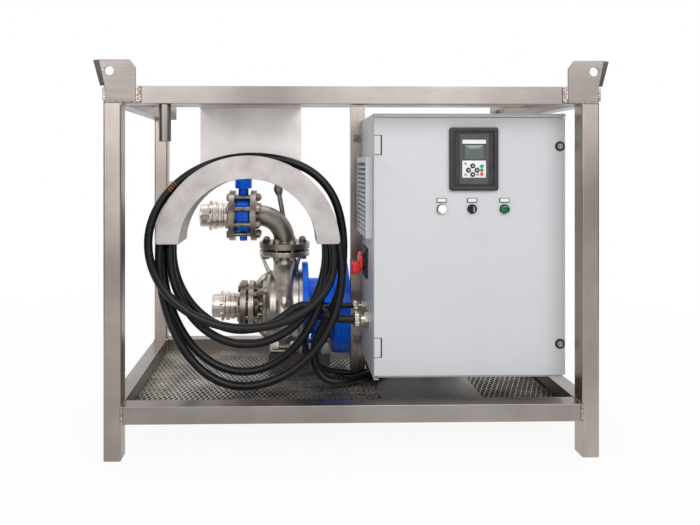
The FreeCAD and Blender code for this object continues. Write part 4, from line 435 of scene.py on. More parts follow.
# %% Supply cable route
LEAD = [(25, -120, 340), (-8, -120, 340), (-40, -114, 344), (-72, -97, 358), (-104, -76, 374),
        (-138, -71, 376), (-174, -71, 358), (-214, -72, 327), (-264, -73, 301)]
TURNS = [  # lowest, leftmost, highest and rightmost place of each turn, and how far it spreads
    ((-318, -74, 291), (-557, -104, 566), (-309, -100, 813), (-62, -104, 556), 0.0),
    ((-318, -108, 258), (-559, -133, 560), (-309, -128, 813), (-60, -132, 552), 0.0),
    ((-330, -90, 164), (-588, -106, 545), (-309, -114, 837), (-14, -150, 500), 0.0),
    ((-330, -134, 132), (-594, -135, 545), (-309, -142, 837), (-40, -162, 530), 0.0),
    ((-318, -162, 324), (-622, -162, 590), (-309, -128, 861), (-8, -118, 566), 26.0),
]
TAIL = [(-7, -112, 505), (-14, -104, 440), (-34, -92, 380), (-64, -80, 322), (-92, -77, 266),
        (-102, -77, 208), (-88, -80, 158), (-54, -86, 127), (2, -78, 124.5), (54, -48, 124.5),
        (98, -8, 124.5), (136, 34, 124.5), (166, 76, 126), (196, 108, 132), (230, 126, 141),
        (264, 132, 146.8), (296, 132, 146.8)]
QUARTER_POINTS = 4


def quarter(start, end, leaves_level, spread=0.0):
    """Four control points on a quarter ellipse; the depth follows t * t * (3 - 2 t).

    spread pushes the middle of the quarter outwards by spread * sin(2 angle) ** 2.
    """
    step = math.pi / 2 / QUARTER_POINTS
    angle = (np.arange(QUARTER_POINTS) + 0.5) * step
    outward = 1 / math.cos(step / 2)
    start, end = np.array(start, float), np.array(end, float)
    if leaves_level:
        across = start[0] + (end[0] - start[0]) * np.sin(angle) * outward
        up = end[2] + (start[2] - end[2]) * np.cos(angle) * outward
    else:
        across = end[0] + (start[0] - end[0]) * np.cos(angle) * outward
        up = start[2] + (end[2] - start[2]) * np.sin(angle) * outward
    push = spread * np.sin(2 * angle) ** 2 / math.sqrt(2)
    across = across + push * np.sign(end[0] - start[0]) * (1 if leaves_level else -1)
    up = up + push * np.sign(end[2] - start[2]) * (-1 if leaves_level else 1)
    share = angle / (math.pi / 2)
    depth = start[1] + (end[1] - start[1]) * share * share * (3 - 2 * share)
    return np.stack([across, depth, up], axis=1)


route = [np.array(LEAD, float)]
for number, (bottom, left, top, right, spread) in enumerate(TURNS):
    route += [quarter(bottom, left, True), quarter(left, top, False), quarter(top, right, True, spread)]
    if number + 1 < len(TURNS):
        route.append(quarter(right, TURNS[number + 1][0], False))
route.append(np.array(TAIL, float))
supply_route = np.concatenate(route) / 1000
print("supply cable control points:", len(supply_route))


# %% Cord maker
def make_cord(name, points, diameter):
    """A NURBS curve of order 3 with the route's points as control points, swept by a circle."""
    curve = bpy.data.curves.new(name, "CURVE")
    curve.dimensions = "3D"
    curve.bevel_depth = diameter / 2
    curve.bevel_resolution = 8
    curve.use_fill_caps = True
    spline = curve.splines.new("NURBS")
    spline.points.add(len(points) - 1)
    spline.points.foreach_set("co", np.column_stack([points, np.ones(len(points))]).ravel())
    spline.order_u = 3
    spline.use_endpoint_u = True
    spline.resolution_u = 10
    curve.materials.append(sheath)
    piece = placed(name, curve)
    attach(piece, "unit")
    return piece


supply_cable = make_cord("supply_cable", supply_route, 0.027)
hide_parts("supply_lead", "supply_coil", "supply_tail")
print("supply cable made")

# %% [markdown]
# The motor's own cable is thinner. It leaves the upper gland, drops behind the coil, runs along the floor
# under the cabinet and climbs behind the motor to its terminal box.

# %% Motor cable
MOTOR_ROUTE = [
    (31, -42, 366), (-20, -42, 366), (-72, -40, 356), (-112, -34, 322), (-130, -26, 270), (-128, -16, 216),
    (-104, -4, 170), (-66, 8, 138), (-20, 16, 124), (32, 20, 119.5), (78, 26, 119.5), (108, 48, 119.5),
    (116, 88, 119.5), (116, 130, 119.5), (126, 172, 119.5), (142, 212, 119.5), (156, 250, 123),
    (166, 275, 136), (176, 291, 164), (183, 305, 206), (188, 316, 258), (190, 328, 316), (187, 331, 374),
    (181, 318, 418), (177, 288, 438), (177, 255, 438),
]
motor_cable = make_cord("motor_cable", np.array(MOTOR_ROUTE, float) / 1000, 0.018)
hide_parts("motor_lead")
print("motor cable made")

# %% [markdown]
# ## Floor, daylight and lamps
# The picture has a plain white ground. The floor is nearly white and keeps the object's shadow, and the
# world is white to the camera and to mirrors but softer as a light.

# %% Stage
def board(name, corners, material):
    """One four-sided face that belongs to the stage."""
    mesh = bpy.data.meshes.new(name)
    mesh.from_pydata(corners, [], [(0, 1, 2, 3)])
    mesh.materials.append(material)
    thing = placed(name, mesh)
    return thing


ground_paint, tree, ground_shader = start_finish("ground_paint")
soft = ramp(tree, noise(tree, 2.0), 0.3, 0.7, 0.0, 1.0)
shades = blend_colours(tree, soft, linear(244, 244, 244), linear(247, 247, 247))
feed(tree, ground_shader, {"Roughness": 0.9, "Base Color": shades})
glow = add_node(tree, "Emission", {"Color": (1, 1, 1, 1)}).outputs[0]
distance = add_node(tree, "VectorMath", {0: object_place(tree)}, operation="LENGTH").outputs["Value"]
share = ramp(tree, distance, 0.9, 2.6, 0.92, 1.0)
rays = add_node(tree, "LightPath").outputs
looked_at = calculated(tree, "MAXIMUM", rays["Is Camera Ray"], rays["Is Glossy Ray"])
glowing = calculated(tree, "MULTIPLY", share, looked_at)
both_grounds = add_node(tree, "MixShader", {0: glowing, 1: ground_shader.outputs[0], 2: glow})
feed(tree, tree.nodes["Material Output"], {"Surface": both_grounds.outputs[0]})
board("ground", [(-30, -30, 0), (30, -30, 0), (30, 30, 0), (-30, 30, 0)], ground_paint)

world = bpy.data.worlds.new("daylight")
bpy.context.scene.world = world
world.use_nodes = True
tree = world.node_tree
rays = add_node(tree, "LightPath").outputs
seen = calculated(tree, "MAXIMUM", rays["Is Camera Ray"], rays["Is Transmission Ray"])
level = ramp(tree, calculated(tree, "MAXIMUM", seen, rays["Is Glossy Ray"]), 0, 1, 0.55, 1.0)
feed(tree, tree.nodes["Background"], {"Color": (1, 1, 1, 1), "Strength": level})
print("ground and daylight ready")

# %% [markdown]
# Two dark boards beside the object are seen only in reflections: they give round steel its dark edges.

# %% Boards and lamps
FLAG_FRONT, FLAG_BACK, FLAG_TOP = -2.6, 0.9, 1.18
flag_cloth = finish("flag_cloth", (52, 52, 54), (40, 40, 42), 0.9, patch=2, grain=300, shine=0.1)
for name, across in (("left_flag", -2.2), ("right_flag", 2.2)):
    outline = [(across, FLAG_FRONT, 0.0), (across, FLAG_BACK, 0.0), (across, FLAG_BACK, FLAG_TOP),
               (across, FLAG_FRONT, FLAG_TOP)]
    board(name, outline, flag_cloth).visible_camera = False


def lamp(name, place, aim, size, watts):
    data = bpy.data.lights.new(name, "AREA")
    data.shape = "RECTANGLE"
    data.size, data.size_y = size
    data.energy = watts
    thing = placed(name, data)
    thing.location = place
    thing.rotation_euler = (Vector(aim) - Vector(place)).to_track_quat("-Z", "Y").to_euler()


lamp("key", (1.5, -4.2, 3.0), (0.1, 0, 0.5), (3.4, 2.6), 110)
lamp("fill", (-1.9, -3.3, 1.9), (-0.3, 0, 0.5), (2.0, 2.4), 33)
lamp("top", (0, 0.4, 3.8), (0, 0, 0.4), (3.2, 2.2), 40)
print("boards and lamps ready")

# %% [markdown]
# ## Eased edges
# No edge of a real tube, plate or moulding is quite sharp: tube is rolled with a small outer radius, and
# plates are deburred. A merged copy of the solid with a bevel on its sharp edges catches the light there.


# %% Eased copies of the solids
EDGE_ANGLE = 40


def eased(name, width, body="unit"):
    """A copy whose coplanar triangles are joined and whose sharp edges are bevelled by width."""
    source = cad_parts[name]
    work = bmesh.new()
    work.from_mesh(source.data)
    bmesh.ops.remove_doubles(work, verts=work.verts, dist=1e-5)
    bmesh.ops.dissolve_limit(work, angle_limit=math.radians(0.5), verts=work.verts, edges=work.edges)
    bmesh.ops.recalc_face_normals(work, faces=work.faces)
    mesh = bpy.data.meshes.new(name + "_eased")
    work.to_mesh(mesh)
    work.free()
    shaded(mesh, source.data.materials[0], EDGE_ANGLE)
    piece = placed(name + "_eased", mesh)
    bevel = piece.modifiers.new("eased", "BEVEL")
    bevel.width = width
    bevel.segments = 3
    bevel.limit_method = "ANGLE"
    bevel.angle_limit = math.radians(EDGE_ANGLE)
    bevel.harden_normals = True
    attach(piece, body)
    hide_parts(name)


for name, width in (("corner_posts", 0.0050), ("bottom_rails", 0.0050), ("top_rails", 0.0045),
                    ("support_frame", 0.0040), ("lifting_lugs", 0.0012)):
    eased(name, width)
eased("cabinet_door", 0.0020, "door")
eased("saddle_arch", 0.0014)
eased("keypad", 0.0020, "door")
eased("isolator_plate", 0.0016)
print("eased copies made")

# %% [markdown]
# ## Expanded metal
# The floor mesh is one sheet, slit and pulled open. Its strands run in zigzags across the floor, and each
# touches its neighbours at the bonds. A strand is a flat bar, so the loft needs four points a ring. The
# upper layer's diamonds are 34 mm long and 16.5 mm wide, and a finer layer carries them. The lower layer
# is written darker, as painted shade in the openings, and the upper one lighter, as painted light.

# %% Floor mesh
MESH_LOW, MESH_HIGH = np.array(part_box("floor_mesh"))
PLATE_LEFT, PLATE_RIGHT = (corner[0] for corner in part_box("floor_plate"))
EDGE_GAP = 0.001


def net(left, right, along, pitch, step, fold, section, top):
    """Strand k: place = low + (k + 1/2) step + sign * (-1) ** n * (step / 2 - fold) at n * pitch / 2."""
    across = 1 - along
    low = (left + EDGE_GAP, MESH_LOW[1] + EDGE_GAP)
    high = (right - EDGE_GAP, MESH_HIGH[1] - EDGE_GAP)
    samples = int((high[along] - low[along]) / (pitch / 2)) + 1
    wave = np.where(np.arange(samples) % 2, 1.0, -1.0)
    path = np.full((samples, 3), top)
    path[:, along] = np.linspace(low[along], high[along], samples)
    offset = np.zeros((len(section), 3))
    offset[:, (across, 2)] = section
    lofts = []
    for strand in range(int((high[across] - low[across]) / step)):
        sign = 1 if strand % 2 else -1
        path[:, across] = low[across] + (strand + 0.5) * step + sign * wave * (step / 2 - fold)
        lofts.append(capped(path[:, None] + offset[None]))
    return lofts


def floor_layer(name, material, **form):
    """A layer on each side of the solid plate."""
    lofts = net(MESH_LOW[0], PLATE_LEFT, **form) + net(PLATE_RIGHT, MESH_HIGH[0], **form)
    return write_piece(name, lofts, material, smooth=30)


wide, thick = 0.0036, 0.0050
leaning = [(-wide / 2, -thick / 2), (wide / 2, -thick / 6), (wide / 2, thick / 2), (-wide / 2, thick / 6)]
# The lower net is the darker, shaded copy of the mesh: painted shade that fills the openings.
floor_net = floor_layer("floor_net", mesh_steel, along=0, pitch=0.0165, step=0.0085, fold=wide * 0.15,
                        section=leaning, top=MESH_HIGH[2] - thick / 2)
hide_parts("floor_mesh")
wide, thick = 0.0026, 0.0010
flat = [(-wide / 2, 0), (wide / 2, 0), (wide / 2, thick), (-wide / 2, thick)]
# The upper diamonds are the lighter, lit copy of the mesh: painted light.
floor_layer("lit_floor_diamonds", strand_steel, along=1, pitch=0.034, step=0.00825, fold=wide * 0.2,
            section=flat, top=MESH_HIGH[2] - 0.0004)
print("floor box", MESH_LOW, MESH_HIGH, "plate", PLATE_LEFT, PLATE_RIGHT)

# %% [markdown]
# ## Weld beads
# The tubes are joined by fillet welds, which look like a row of small overlapping coins. A bead is a
# round section carried along the seam, and its thickness swells and shrinks with a short wave.


# %% Beads round the joints
def bead(corners, radius, ripple=0.0045, shut=True):
    """Section radius = radius * (0.8 + 0.25 * |sin(pi * distance / ripple)|), along straight runs."""
    corners = np.asarray(corners, float)
    if shut:
        corners = np.concatenate([corners, corners[:1]])
    runs = np.linalg.norm(np.diff(corners, axis=0), axis=1)
    reached = np.concatenate([[0], np.cumsum(runs)])
    at = np.linspace(0, reached[-1], int(reached[-1] / ripple * 4))
    path = np.stack([np.interp(at, reached, corners[:, axis]) for axis in range(3)], axis=1)
    swell = radius * (0.8 + 0.25 * np.abs(np.sin(math.pi * at / ripple)))
    angle = round_angles(8)
    next_run = corners[2] - corners[1] if len(corners) > 2 else (0.3, 1, 0.2)
    normal = unit_long(np.cross(corners[1] - corners[0], next_run))
    side = unit_long(np.cross(unit_long(np.gradient(path, axis=0)), normal))
    ring = np.cos(angle)[None, :, None] * side[:, None] + np.sin(angle)[None, :, None] * normal[None, None]
    return capped(path[:, None] + swell[:, None, None] * ring)


OUT_X, OUT_Y, TUBE = 0.705, 0.350, 0.050
LOW_RAIL, HIGH_RAIL = 0.105, 1.010
THIN = 0.0026
bead_lofts = []
for low in (LOW_RAIL, HIGH_RAIL):
    high = low + TUBE
    for side_x in (-1, 1):
        for side_y in (-1, 1):
            inner_x, inner_y = side_x * (OUT_X - TUBE), side_y * (OUT_Y - TUBE)
            inner_ends = [(inner_x, inner_y, high), (inner_x, inner_y, low)]
            if low == LOW_RAIL or side_y < 0:
                front = [(inner_x, side_y * OUT_Y, low), (inner_x, side_y * OUT_Y, high)]
                bead_lofts.append(bead(front + inner_ends, THIN))
            outside = [(side_x * OUT_X, inner_y, low), (side_x * OUT_X, inner_y, high)]
            bead_lofts.append(bead(outside + inner_ends, THIN))
for side_x in (-1, 1):
    inner, outer = side_x * (OUT_X - 0.093), side_x * (OUT_X - 0.004)
    for offset in (0.002, 0.0065, 0.011):
        across = inner - side_x * offset
        bead_lofts.append(bead([(across, -0.3512, 1.013), (across, -0.3512, 1.058)], 0.0040,
                               0.0065 - offset / 8, shut=False))
    bead_lofts.append(bead([(outer, -0.3540, 1.018), (outer, -0.3540, 1.054)], 0.0042, 0.0060, shut=False))
    bead_lofts.append(bead([(inner, -0.3520, 1.0142), (outer, -0.3520, 1.0142)], 0.0030, shut=False))
    corner = side_x * 0.6535
    bead_lofts.append(bead([(corner, -0.3500, LOW_RAIL + 0.003), (corner, -0.3500, LOW_RAIL + 0.047)], 0.0042,
                           0.0062, shut=False))
write_piece("weld_beads", bead_lofts, weld_steel, smooth=50)

# %% [markdown]
# ## The pump casing
# A casting has no sharp inner corners: metal flows from one form into the next. The solid gives the true
# forms, and a voxel remesh of it, joined with the tapering tongue below the outlet, the rim round the
# suction side and the webs behind its flange, gives one skin. The corners are then softened everywhere
# except near the machined flanges.


# %% Cast casing
def cad_copy(name):
    """A merged copy of a solid's mesh, as corners and triangles."""
    work = bmesh.new()
    work.from_mesh(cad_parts[name].data)
    bmesh.ops.remove_doubles(work, verts=work.verts, dist=1e-5)
    bmesh.ops.triangulate(work, faces=work.faces)
    work.verts.index_update()
    corners = np.array([vertex.co for vertex in work.verts])
    faces = [[vertex.index for vertex in face.verts] for face in work.faces]
    work.free()
    return corners, faces


def remeshed(name, parts, voxel):
    """One skin round overlapping closed meshes, as a new mesh made of squares of a voxel's size."""
    corners, faces, start = [], [], 0
    for part_corners, part_faces in parts:
        corners.append(part_corners)
        faces += [[index + start for index in face] for face in part_faces]
        start += len(part_corners)
    rough = bpy.data.meshes.new(name + "_rough")
    rough.from_pydata(np.concatenate(corners), [], faces)
    holder = placed(name + "_rough", rough)
    remesh = holder.modifiers.new("skin", "REMESH")
    remesh.mode = "VOXEL"
    remesh.voxel_size = voxel
    skin = bpy.data.meshes.new_from_object(holder.evaluated_get(bpy.context.evaluated_depsgraph_get()))
    bpy.data.objects.remove(holder)
    return skin


def softened(mesh, keep, rounds):
    """Each round moves a corner half way to the mean of its neighbours, times (1 - keep)."""
    count = len(mesh.vertices)
    place = np.empty(count * 3)
    mesh.vertices.foreach_get("co", place)
    place = place.reshape(-1, 3)
    ends = np.empty(len(mesh.edges) * 2, int)
    mesh.edges.foreach_get("vertices", ends)
    ends = ends.reshape(-1, 2)
    links = np.bincount(ends.ravel(), minlength=count)[:, None]
    share = 0.5 * (1 - keep(place))[:, None]
    for _ in range(rounds):
        total = np.zeros_like(place)
        for axis in range(3):
            total[:, axis] = (np.bincount(ends[:, 0], place[ends[:, 1], axis], count)
                              + np.bincount(ends[:, 1], place[ends[:, 0], axis], count))
        place += share * (total / links - place)
    mesh.vertices.foreach_set("co", place.ravel())
    mesh.update()


def as_part(loft):
    return loft.reshape(-1, 3), loft_faces(*loft.shape[:2]).tolist()


PUMP_DEPTH, SUCTION_UP, DISCHARGE_UP = 0.180, 0.315, 0.649
COLUMN_X = -0.1975
PUMP_AXIS = (0.0, PUMP_DEPTH, SUCTION_UP)
TONGUE = np.array([(0.515, 0.180, 0.0405), (0.470, 0.176, 0.0400), (0.445, 0.156, 0.0375),
                   (0.420, 0.126, 0.0330), (0.398, 0.097, 0.0275), (0.376, 0.071, 0.0200),
                   (0.352, 0.051, 0.0110), (0.330, 0.044, 0.0025)])


def tongue():
    """Level circles whose centre slides forward and whose radius shrinks on the way down."""
    steps = np.linspace(0, len(TONGUE) - 1, 40)
    height, depth, radius = (np.interp(steps, np.arange(len(TONGUE)), column) for column in TONGUE.T)
    angle = round_angles(40)
    circle = np.stack([np.cos(angle), np.sin(angle), np.zeros(40)], axis=1)
    middle = np.stack([np.full(40, COLUMN_X), depth, height], axis=1)
    return capped(middle[:, None] + radius[:, None, None] * circle[None])


def web(angle, half=0.010):
    """A web from the suction flange to the casing: its edge sinks as a quarter ellipse between them."""
    bend = np.linspace(0, math.pi / 2, 9)
    edge = [(-0.3085 + 0.0465 * (1 - math.cos(b)), 0.084 + 0.036 * math.sin(b) ** 3) for b in bend]
    side = np.array(edge + [(-0.240, 0.120), (-0.240, 0.030), (-0.3085, 0.030)])
    out = np.array([0, math.cos(angle), math.sin(angle)])
    across = np.array([0, -math.sin(angle), math.cos(angle)])
    flat = np.array(PUMP_AXIS) + side[:, 0, None] * np.array([1.0, 0, 0]) + side[:, 1, None] * out
    return capped(np.stack([flat - half * across, flat + half * across]))


webs = [as_part(web(math.radians(angle))) for angle in (90, 138, 222, 270, 45, 315)]
around = np.linspace(0, 2 * math.pi, 16)[:-1]
rim = [(-0.262 + 0.016 * math.cos(a), 0.092 + 0.011 * math.sin(a)) for a in around]
casing_mesh = remeshed("casing", [cad_copy("pump_casing"), as_part(tongue()),
                                  as_part(ring_tube(rim, PUMP_AXIS, "x", 64))] + webs, 0.0030)


def near_flanges(place):
    """1 at the machined flanges and 0 on the casting, with a short ramp between."""
    outlet = np.clip((place[:, 2] - 0.480) / 0.012, 0, 1)
    return outlet + np.clip((-0.300 - place[:, 0]) / 0.008, 0, 1) * (place[:, 2] < 0.48)


softened(casing_mesh, near_flanges, 6)
shaded(casing_mesh, cast_steel, 50)
cast_casing = placed("cast_casing", casing_mesh)
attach(cast_casing, "unit")
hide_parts("pump_casing")
print("cast casing", len(casing_mesh.polygons), "faces")

# %% [markdown]
# ## Pipework details
# The bend is welded to its flanges, so a low bead runs round each joint. Each coupling has a smooth collar
# with shallow seams and small claws, and ridges behind it. A turned shape whose radius also depends on the
# angle gives the claws.

# %% Pipe welds and couplings
PIPE_RADIUS = 0.0385
pipe_beads = []
angle = round_angles(120)
section = round_angles(8)[:, None, None]
swell = 0.0016 * (0.8 + 0.3 * np.abs(np.sin(angle * 30)))[None, :, None]
for centre, axis in (((-0.3005 + 0.009, PUMP_DEPTH, DISCHARGE_UP), "x"),
                     ((COLUMN_X, PUMP_DEPTH, 0.5515), "z")):
    across, up, out = AXES[axis]
    spoke = np.cos(angle)[:, None] * across + np.sin(angle)[:, None] * up
    ring = np.cos(section) * spoke + np.sin(section) * out
    body = (np.array(centre) + PIPE_RADIUS * spoke)[None] + swell * ring
    pipe_beads.append(np.concatenate([body, body[:1]]))
write_piece("pipe_welds", pipe_beads, weld_steel, smooth=60)


def lobed(profile, centre, lobes, half, sides=180):
    """Turned about x; a layer's third number is added to its radius within half an angle of each lobe."""
    angle = round_angles(sides)
    turn = (angle[:, None] - lobes[None] + math.pi) % (2 * math.pi) - math.pi
    window = np.clip((half - np.abs(turn).min(axis=1)) / math.radians(1.5) + 0.5, 0, 1)
    profile = np.asarray(profile, float)
    radius = profile[:, 1, None] + profile[:, 2, None] * window[None]
    along = np.broadcast_to(profile[:, 0, None], radius.shape)
    return np.array(centre) + np.stack([along, radius * np.cos(angle), radius * np.sin(angle)], axis=-1)


CLAWS = np.deg2rad([28, 90, 152, 208, 270, 332])
COLLAR = [(0.0015, 0.0368, 0), (0.0, 0.0385, 0), (0.0004, 0.0402, 0), (0.0022, 0.0412, 0),
          (0.0080, 0.0414, 0), (0.0084, 0.0408, 0), (0.0096, 0.0408, 0), (0.0100, 0.0414, 0),
          (0.0102, 0.0420, -0.0007), (0.0270, 0.0424, -0.0007), (0.0272, 0.0416, 0), (0.0290, 0.0416, 0),
          (0.0292, 0.0426, 0), (0.0310, 0.0430, 0), (0.0312, 0.0432, 0.0085), (0.0325, 0.0436, 0.0105),
          (0.0410, 0.0436, 0.0105), (0.0425, 0.0432, 0.0085), (0.0427, 0.0440, 0), (0.0470, 0.0440, 0),
          (0.0470, 0.0368, 0), (0.0015, 0.0368, 0)]


def coupling_ring(name, node, mouth, height, body):
    """The turning collar: a smooth front with shallow seams, then a ridge with claws."""
    loft = lobed(COLLAR, (mouth, PUMP_DEPTH, height), CLAWS, math.radians(10))
    ring = write_piece(name, [loft], turned_steel, body=body, smooth=35)
    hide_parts(node)


coupling_ring("suction_collar", "suction_lock_ring", -0.462, SUCTION_UP, "suction_ring")
coupling_ring("discharge_collar", "discharge_lock_ring", -0.5065, DISCHARGE_UP, "discharge_ring")


def adapter_rings(name, start, end, height):
    """Three ridges between the collar and the flange; their radius drops towards the flange."""
    lofts = []
    long = (end - start) / 3
    for index, outer in enumerate((0.0515, 0.0475, 0.0455)):
        at = start + index * long
        loop = [(at, 0.0405), (at, outer - 0.0012), (at + 0.0012, outer), (at + long * 0.62, outer),
                (at + long * 0.62 + 0.0012, outer - 0.0012), (at + long * 0.70, 0.0440),
                (at + long * 0.92, 0.0436), (at + long * 0.92, 0.0405)]
        lofts.append(ring_tube(loop, (0, PUMP_DEPTH, height), "x", 96))
    write_piece(name, lofts, turned_steel, smooth=35)


adapter_rings("suction_rings", -0.4115, -0.3560, SUCTION_UP)
adapter_rings("discharge_rings", -0.4580, -0.3990, DISCHARGE_UP)

# %% [markdown]
# ## The tie on the coil
# A few turns of bare copper wire hold the outer turn of the cable. The wire is a helix round a place on
# the cable. Between the middles of its runs the cable is a parabola, (1 - t)^2 M0 + 2 t (1 - t) C + t^2 M1,
# and the parabola's nearest point and direction give the helix its centre and axis.

# %% Tie wire
tie_near = np.array([-0.5545, -0.145, 0.7690])
middles = (supply_route[1:] + supply_route[:-1]) / 2
share = np.linspace(0, 1, 20)[:, None]
spans = ((1 - share) ** 2 * middles[:-1, None] + 2 * share * (1 - share) * supply_route[1:-1, None]
         + share ** 2 * middles[1:, None]).reshape(-1, 3)
spans = spans[spans[:, 1] < -0.130]
tie_index = int(np.argmin(np.linalg.norm(spans - tie_near, axis=1)))
tie_centre = spans[tie_index]
tie_axis = unit_long(spans[tie_index + 1] - spans[tie_index])
tie_side = unit_long(np.cross(tie_axis, (0, 1, 0)))
tie_top = np.cross(tie_side, tie_axis)
turn = np.linspace(0, 4 * 2 * math.pi, 220)
helix = (tie_centre + (turn / turn[-1] - 0.5 + 0.1 * np.sin(0.9 * turn))[:, None] * 0.028 * tie_axis
         + 0.0150 * (np.cos(turn)[:, None] * tie_side + np.sin(turn)[:, None] * tie_top))
tail_length = np.linspace(0, 1, 24)[1:, None]
leaving = helix[-1] + tail_length * np.array([-0.012, -0.006, -0.004])
around = np.arange(8) * math.pi / 4
wire_circle = 0.0015 * np.stack([np.cos(around), np.sin(around)], axis=1)
wire = carried(np.concatenate([helix, leaving]), wire_circle, tie_axis + 0.01)
write_piece("tie_wire", [capped(wire)], copper, smooth=60)
print("tie at", tie_centre)

# %% [markdown]
# ## The control panel's face
# The keypad has a pale strip, a display behind glass and a pale field with the keys. Each key carries a
# plain arrow. The display and strip stay blank.

# %% Keypad face
def plain(name, colour, rough, coat=0.0):
    """A smooth finish with a barely visible cloud, for glass and printed fields."""
    shade = tuple(max(value - 8, 0) for value in colour)
    return finish(name, colour, shade, rough, 0, 60, 1500, 0.03, coat=coat)


lcd_glass = plain("lcd_glass", (84, 98, 92), 0.14, 0.3)
printed_white = plain("printed_white", (226, 226, 226), 0.4)
mark_ink = plain("mark_ink", (30, 30, 32), 0.5)
key_grey = plain("key_grey", (150, 152, 154), 0.4)
key_green = plain("key_green", (0, 140, 104), 0.3)
steel_pin = plain("steel_pin", (196, 194, 192), 0.3)
FACE_X, FACE_Y, FACE_Z = 0.373, -0.259, 0.854
DOOR_FRONT = -0.2520


def face_plate(name, wide, high, up, material, thick=0.0008, corner=0.003, across=FACE_X, front=FACE_Y):
    outline = rounded_outline(wide, high, corner, 5)
    layers = [(0, 0), (0, 1), (-thick * 0.7, 1), (-thick, 0.985), (-thick, 0)]
    write_piece(name, [pressed(outline, layers, (across, front, up), "y")], material, body="door")


face_plate("keypad_strip", 0.071, 0.012, 0.9060, printed_white, 0.0006, 0.001)
face_plate("keypad_display", 0.058, 0.041, 0.8755, lcd_glass, 0.0004, 0.001)
face_plate("keypad_field", 0.071, 0.051, 0.8240, printed_white, 0.0005, 0.002)
BEZEL = [(0.146, 0.190, 0.0080, -0.2500), (0.146, 0.190, 0.0080, -0.2600), (0.1445, 0.1885, 0.0073, -0.2614),
         (0.142, 0.186, 0.0060, -0.2620), (0.124, 0.168, 0.0040, -0.2620), (0.121, 0.165, 0.0030, -0.2612),
         (0.119, 0.163, 0.0030, -0.2570), (0.114, 0.158, 0.0050, -0.2570), (0.1125, 0.1565, 0.0050, -0.2580),
         (0.089, 0.151, 0.0020, -0.2580), (0.0885, 0.1505, 0.0020, -0.2500)]
bezel_rings = [pressed(rounded_outline(wide, high, corner), [(depth, 1)], (FACE_X, 0, FACE_Z))
               for wide, high, corner, depth in BEZEL + BEZEL[:1]]
bezel_frame = write_piece("bezel_frame", [np.concatenate(bezel_rings)], black_plastic, body="door",
                          smooth=30)
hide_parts("keypad_bezel")
for side_x in (-1, 1):
    for side_z in (-1, 1):
        screw = knob([(0.0035, 0.0040), (-0.0010, 0.0040), (-0.0016, 0.0032)],
                     (FACE_X + side_x * 0.0515, -0.2575, FACE_Z + side_z * 0.0735))
        write_piece("bezel_screw_%d%d" % (side_x + 1, side_z + 1), [screw], mark_ink, body="door")
small_keys = [knob([(0.001, 0.0040), (-0.0012, 0.0040), (-0.0018, 0.0032)], (FACE_X + across, FACE_Y, up))
              for across, up in ((-0.026, 0.8405), (-0.026, 0.8080), (0.0105, 0.8080))]
write_piece("small_keys", small_keys, key_grey, body="door")
second_key = knob([(0.001, 0.0052), (-0.0016, 0.0052), (-0.0024, 0.0040)], (0.3958, FACE_Y, 0.8212))
write_piece("second_key", [second_key], key_green, body="door")
PRINT = [(0.0004, 0), (0.0004, 1), (-0.0003, 1), (-0.0003, 0)]


def round_key(name, radius, material):
    """A wider cap in front of the key's own one, with a softened rim."""
    low, high = np.array(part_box(name))
    middle = (low + high) / 2
    cap = knob([(0.0040, 0.0038), (0.0006, 0.0038), (0.0006, radius), (-0.0004, radius),
                (-0.0012, radius * 0.86), (-0.0014, radius * 0.5)], (middle[0], low[1], middle[2]), "y", 32)
    key = write_piece(name + "_cap", [cap], material, body=name)
    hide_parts(name)
    return middle[0], low[1] - 0.0014, middle[2]


for name, way in (("key_up", (0, 1)), ("key_down", (0, -1)), ("key_left", (-1, 0)), ("key_right", (1, 0))):
    spot = round_key(name, 0.0074, mark_ink)
    way = np.array(way, float)
    side = np.array([-way[1], way[0]])
    arrow = [way * 0.0032, -way * 0.0020 + side * 0.0030, -way * 0.0020 - side * 0.0030]
    write_piece(name + "_mark", [pressed(arrow, PRINT, spot)], printed_white, body=name,
                smooth=20)
round_key("key_start", 0.0052, key_green)
round_key("key_stop", 0.0052, red_plastic)

# %% [markdown]
# Each pilot device has a pale legend plate in a dark holder. The push button and the lamp have domed caps
# that nearly cover their rings, and the selector has a pale line on its grip.

# %% Pilot devices
PILOTS = {"button": 0.277, "selector": 0.369, "lamp": 0.467}
PILOT_UP = 0.704
for name, across in PILOTS.items():
    face_plate(name + "_legend", 0.0255, 0.0095, 0.7305, printed_white, 0.0006, 0.001, across, DOOR_FRONT)
DOME_RADIUS = 0.0132


def dome(centre, back, front, crown):
    """Radius falls as a quarter circle: radius * cos a at front - crown * sin a."""
    bend = np.linspace(0, math.pi / 2, 8)
    profile = [(back, 0.0), (back, 0.0095), (0.0, 0.0095), (0.0, DOME_RADIUS), (front, DOME_RADIUS)]
    profile += [(front - crown * math.sin(a), DOME_RADIUS * math.cos(a)) for a in bend[1:]]
    return turned(profile, centre, "y", 48)


button_cap = dome((PILOTS["button"], -0.2596, PILOT_UP), 0.026, -0.0018, 0.0034)
button_dome = write_piece("button_dome", [button_cap], white_plastic, body="push_button")
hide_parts("push_button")
lamp_lens = write_piece("lamp_lens", [dome((PILOTS["lamp"], -0.2556, PILOT_UP), 0.022, -0.0045, 0.0040)],
                        green_plastic, body="door")
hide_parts("green_lamp")
line = pressed(rounded_outline(0.0016, 0.0150, 0.0006, 3),
               [(0.0005, 0), (0.0005, 1), (-0.0003, 1), (-0.0003, 0)],
               (PILOTS["selector"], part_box("selector_knob")[0][1], 0.7045))
write_piece("selector_line", [line], printed_white, body="selector")

# %% [markdown]
# Each hinge shows as a small tab; the dark gap round it is a black plate under the tab, painted shade.

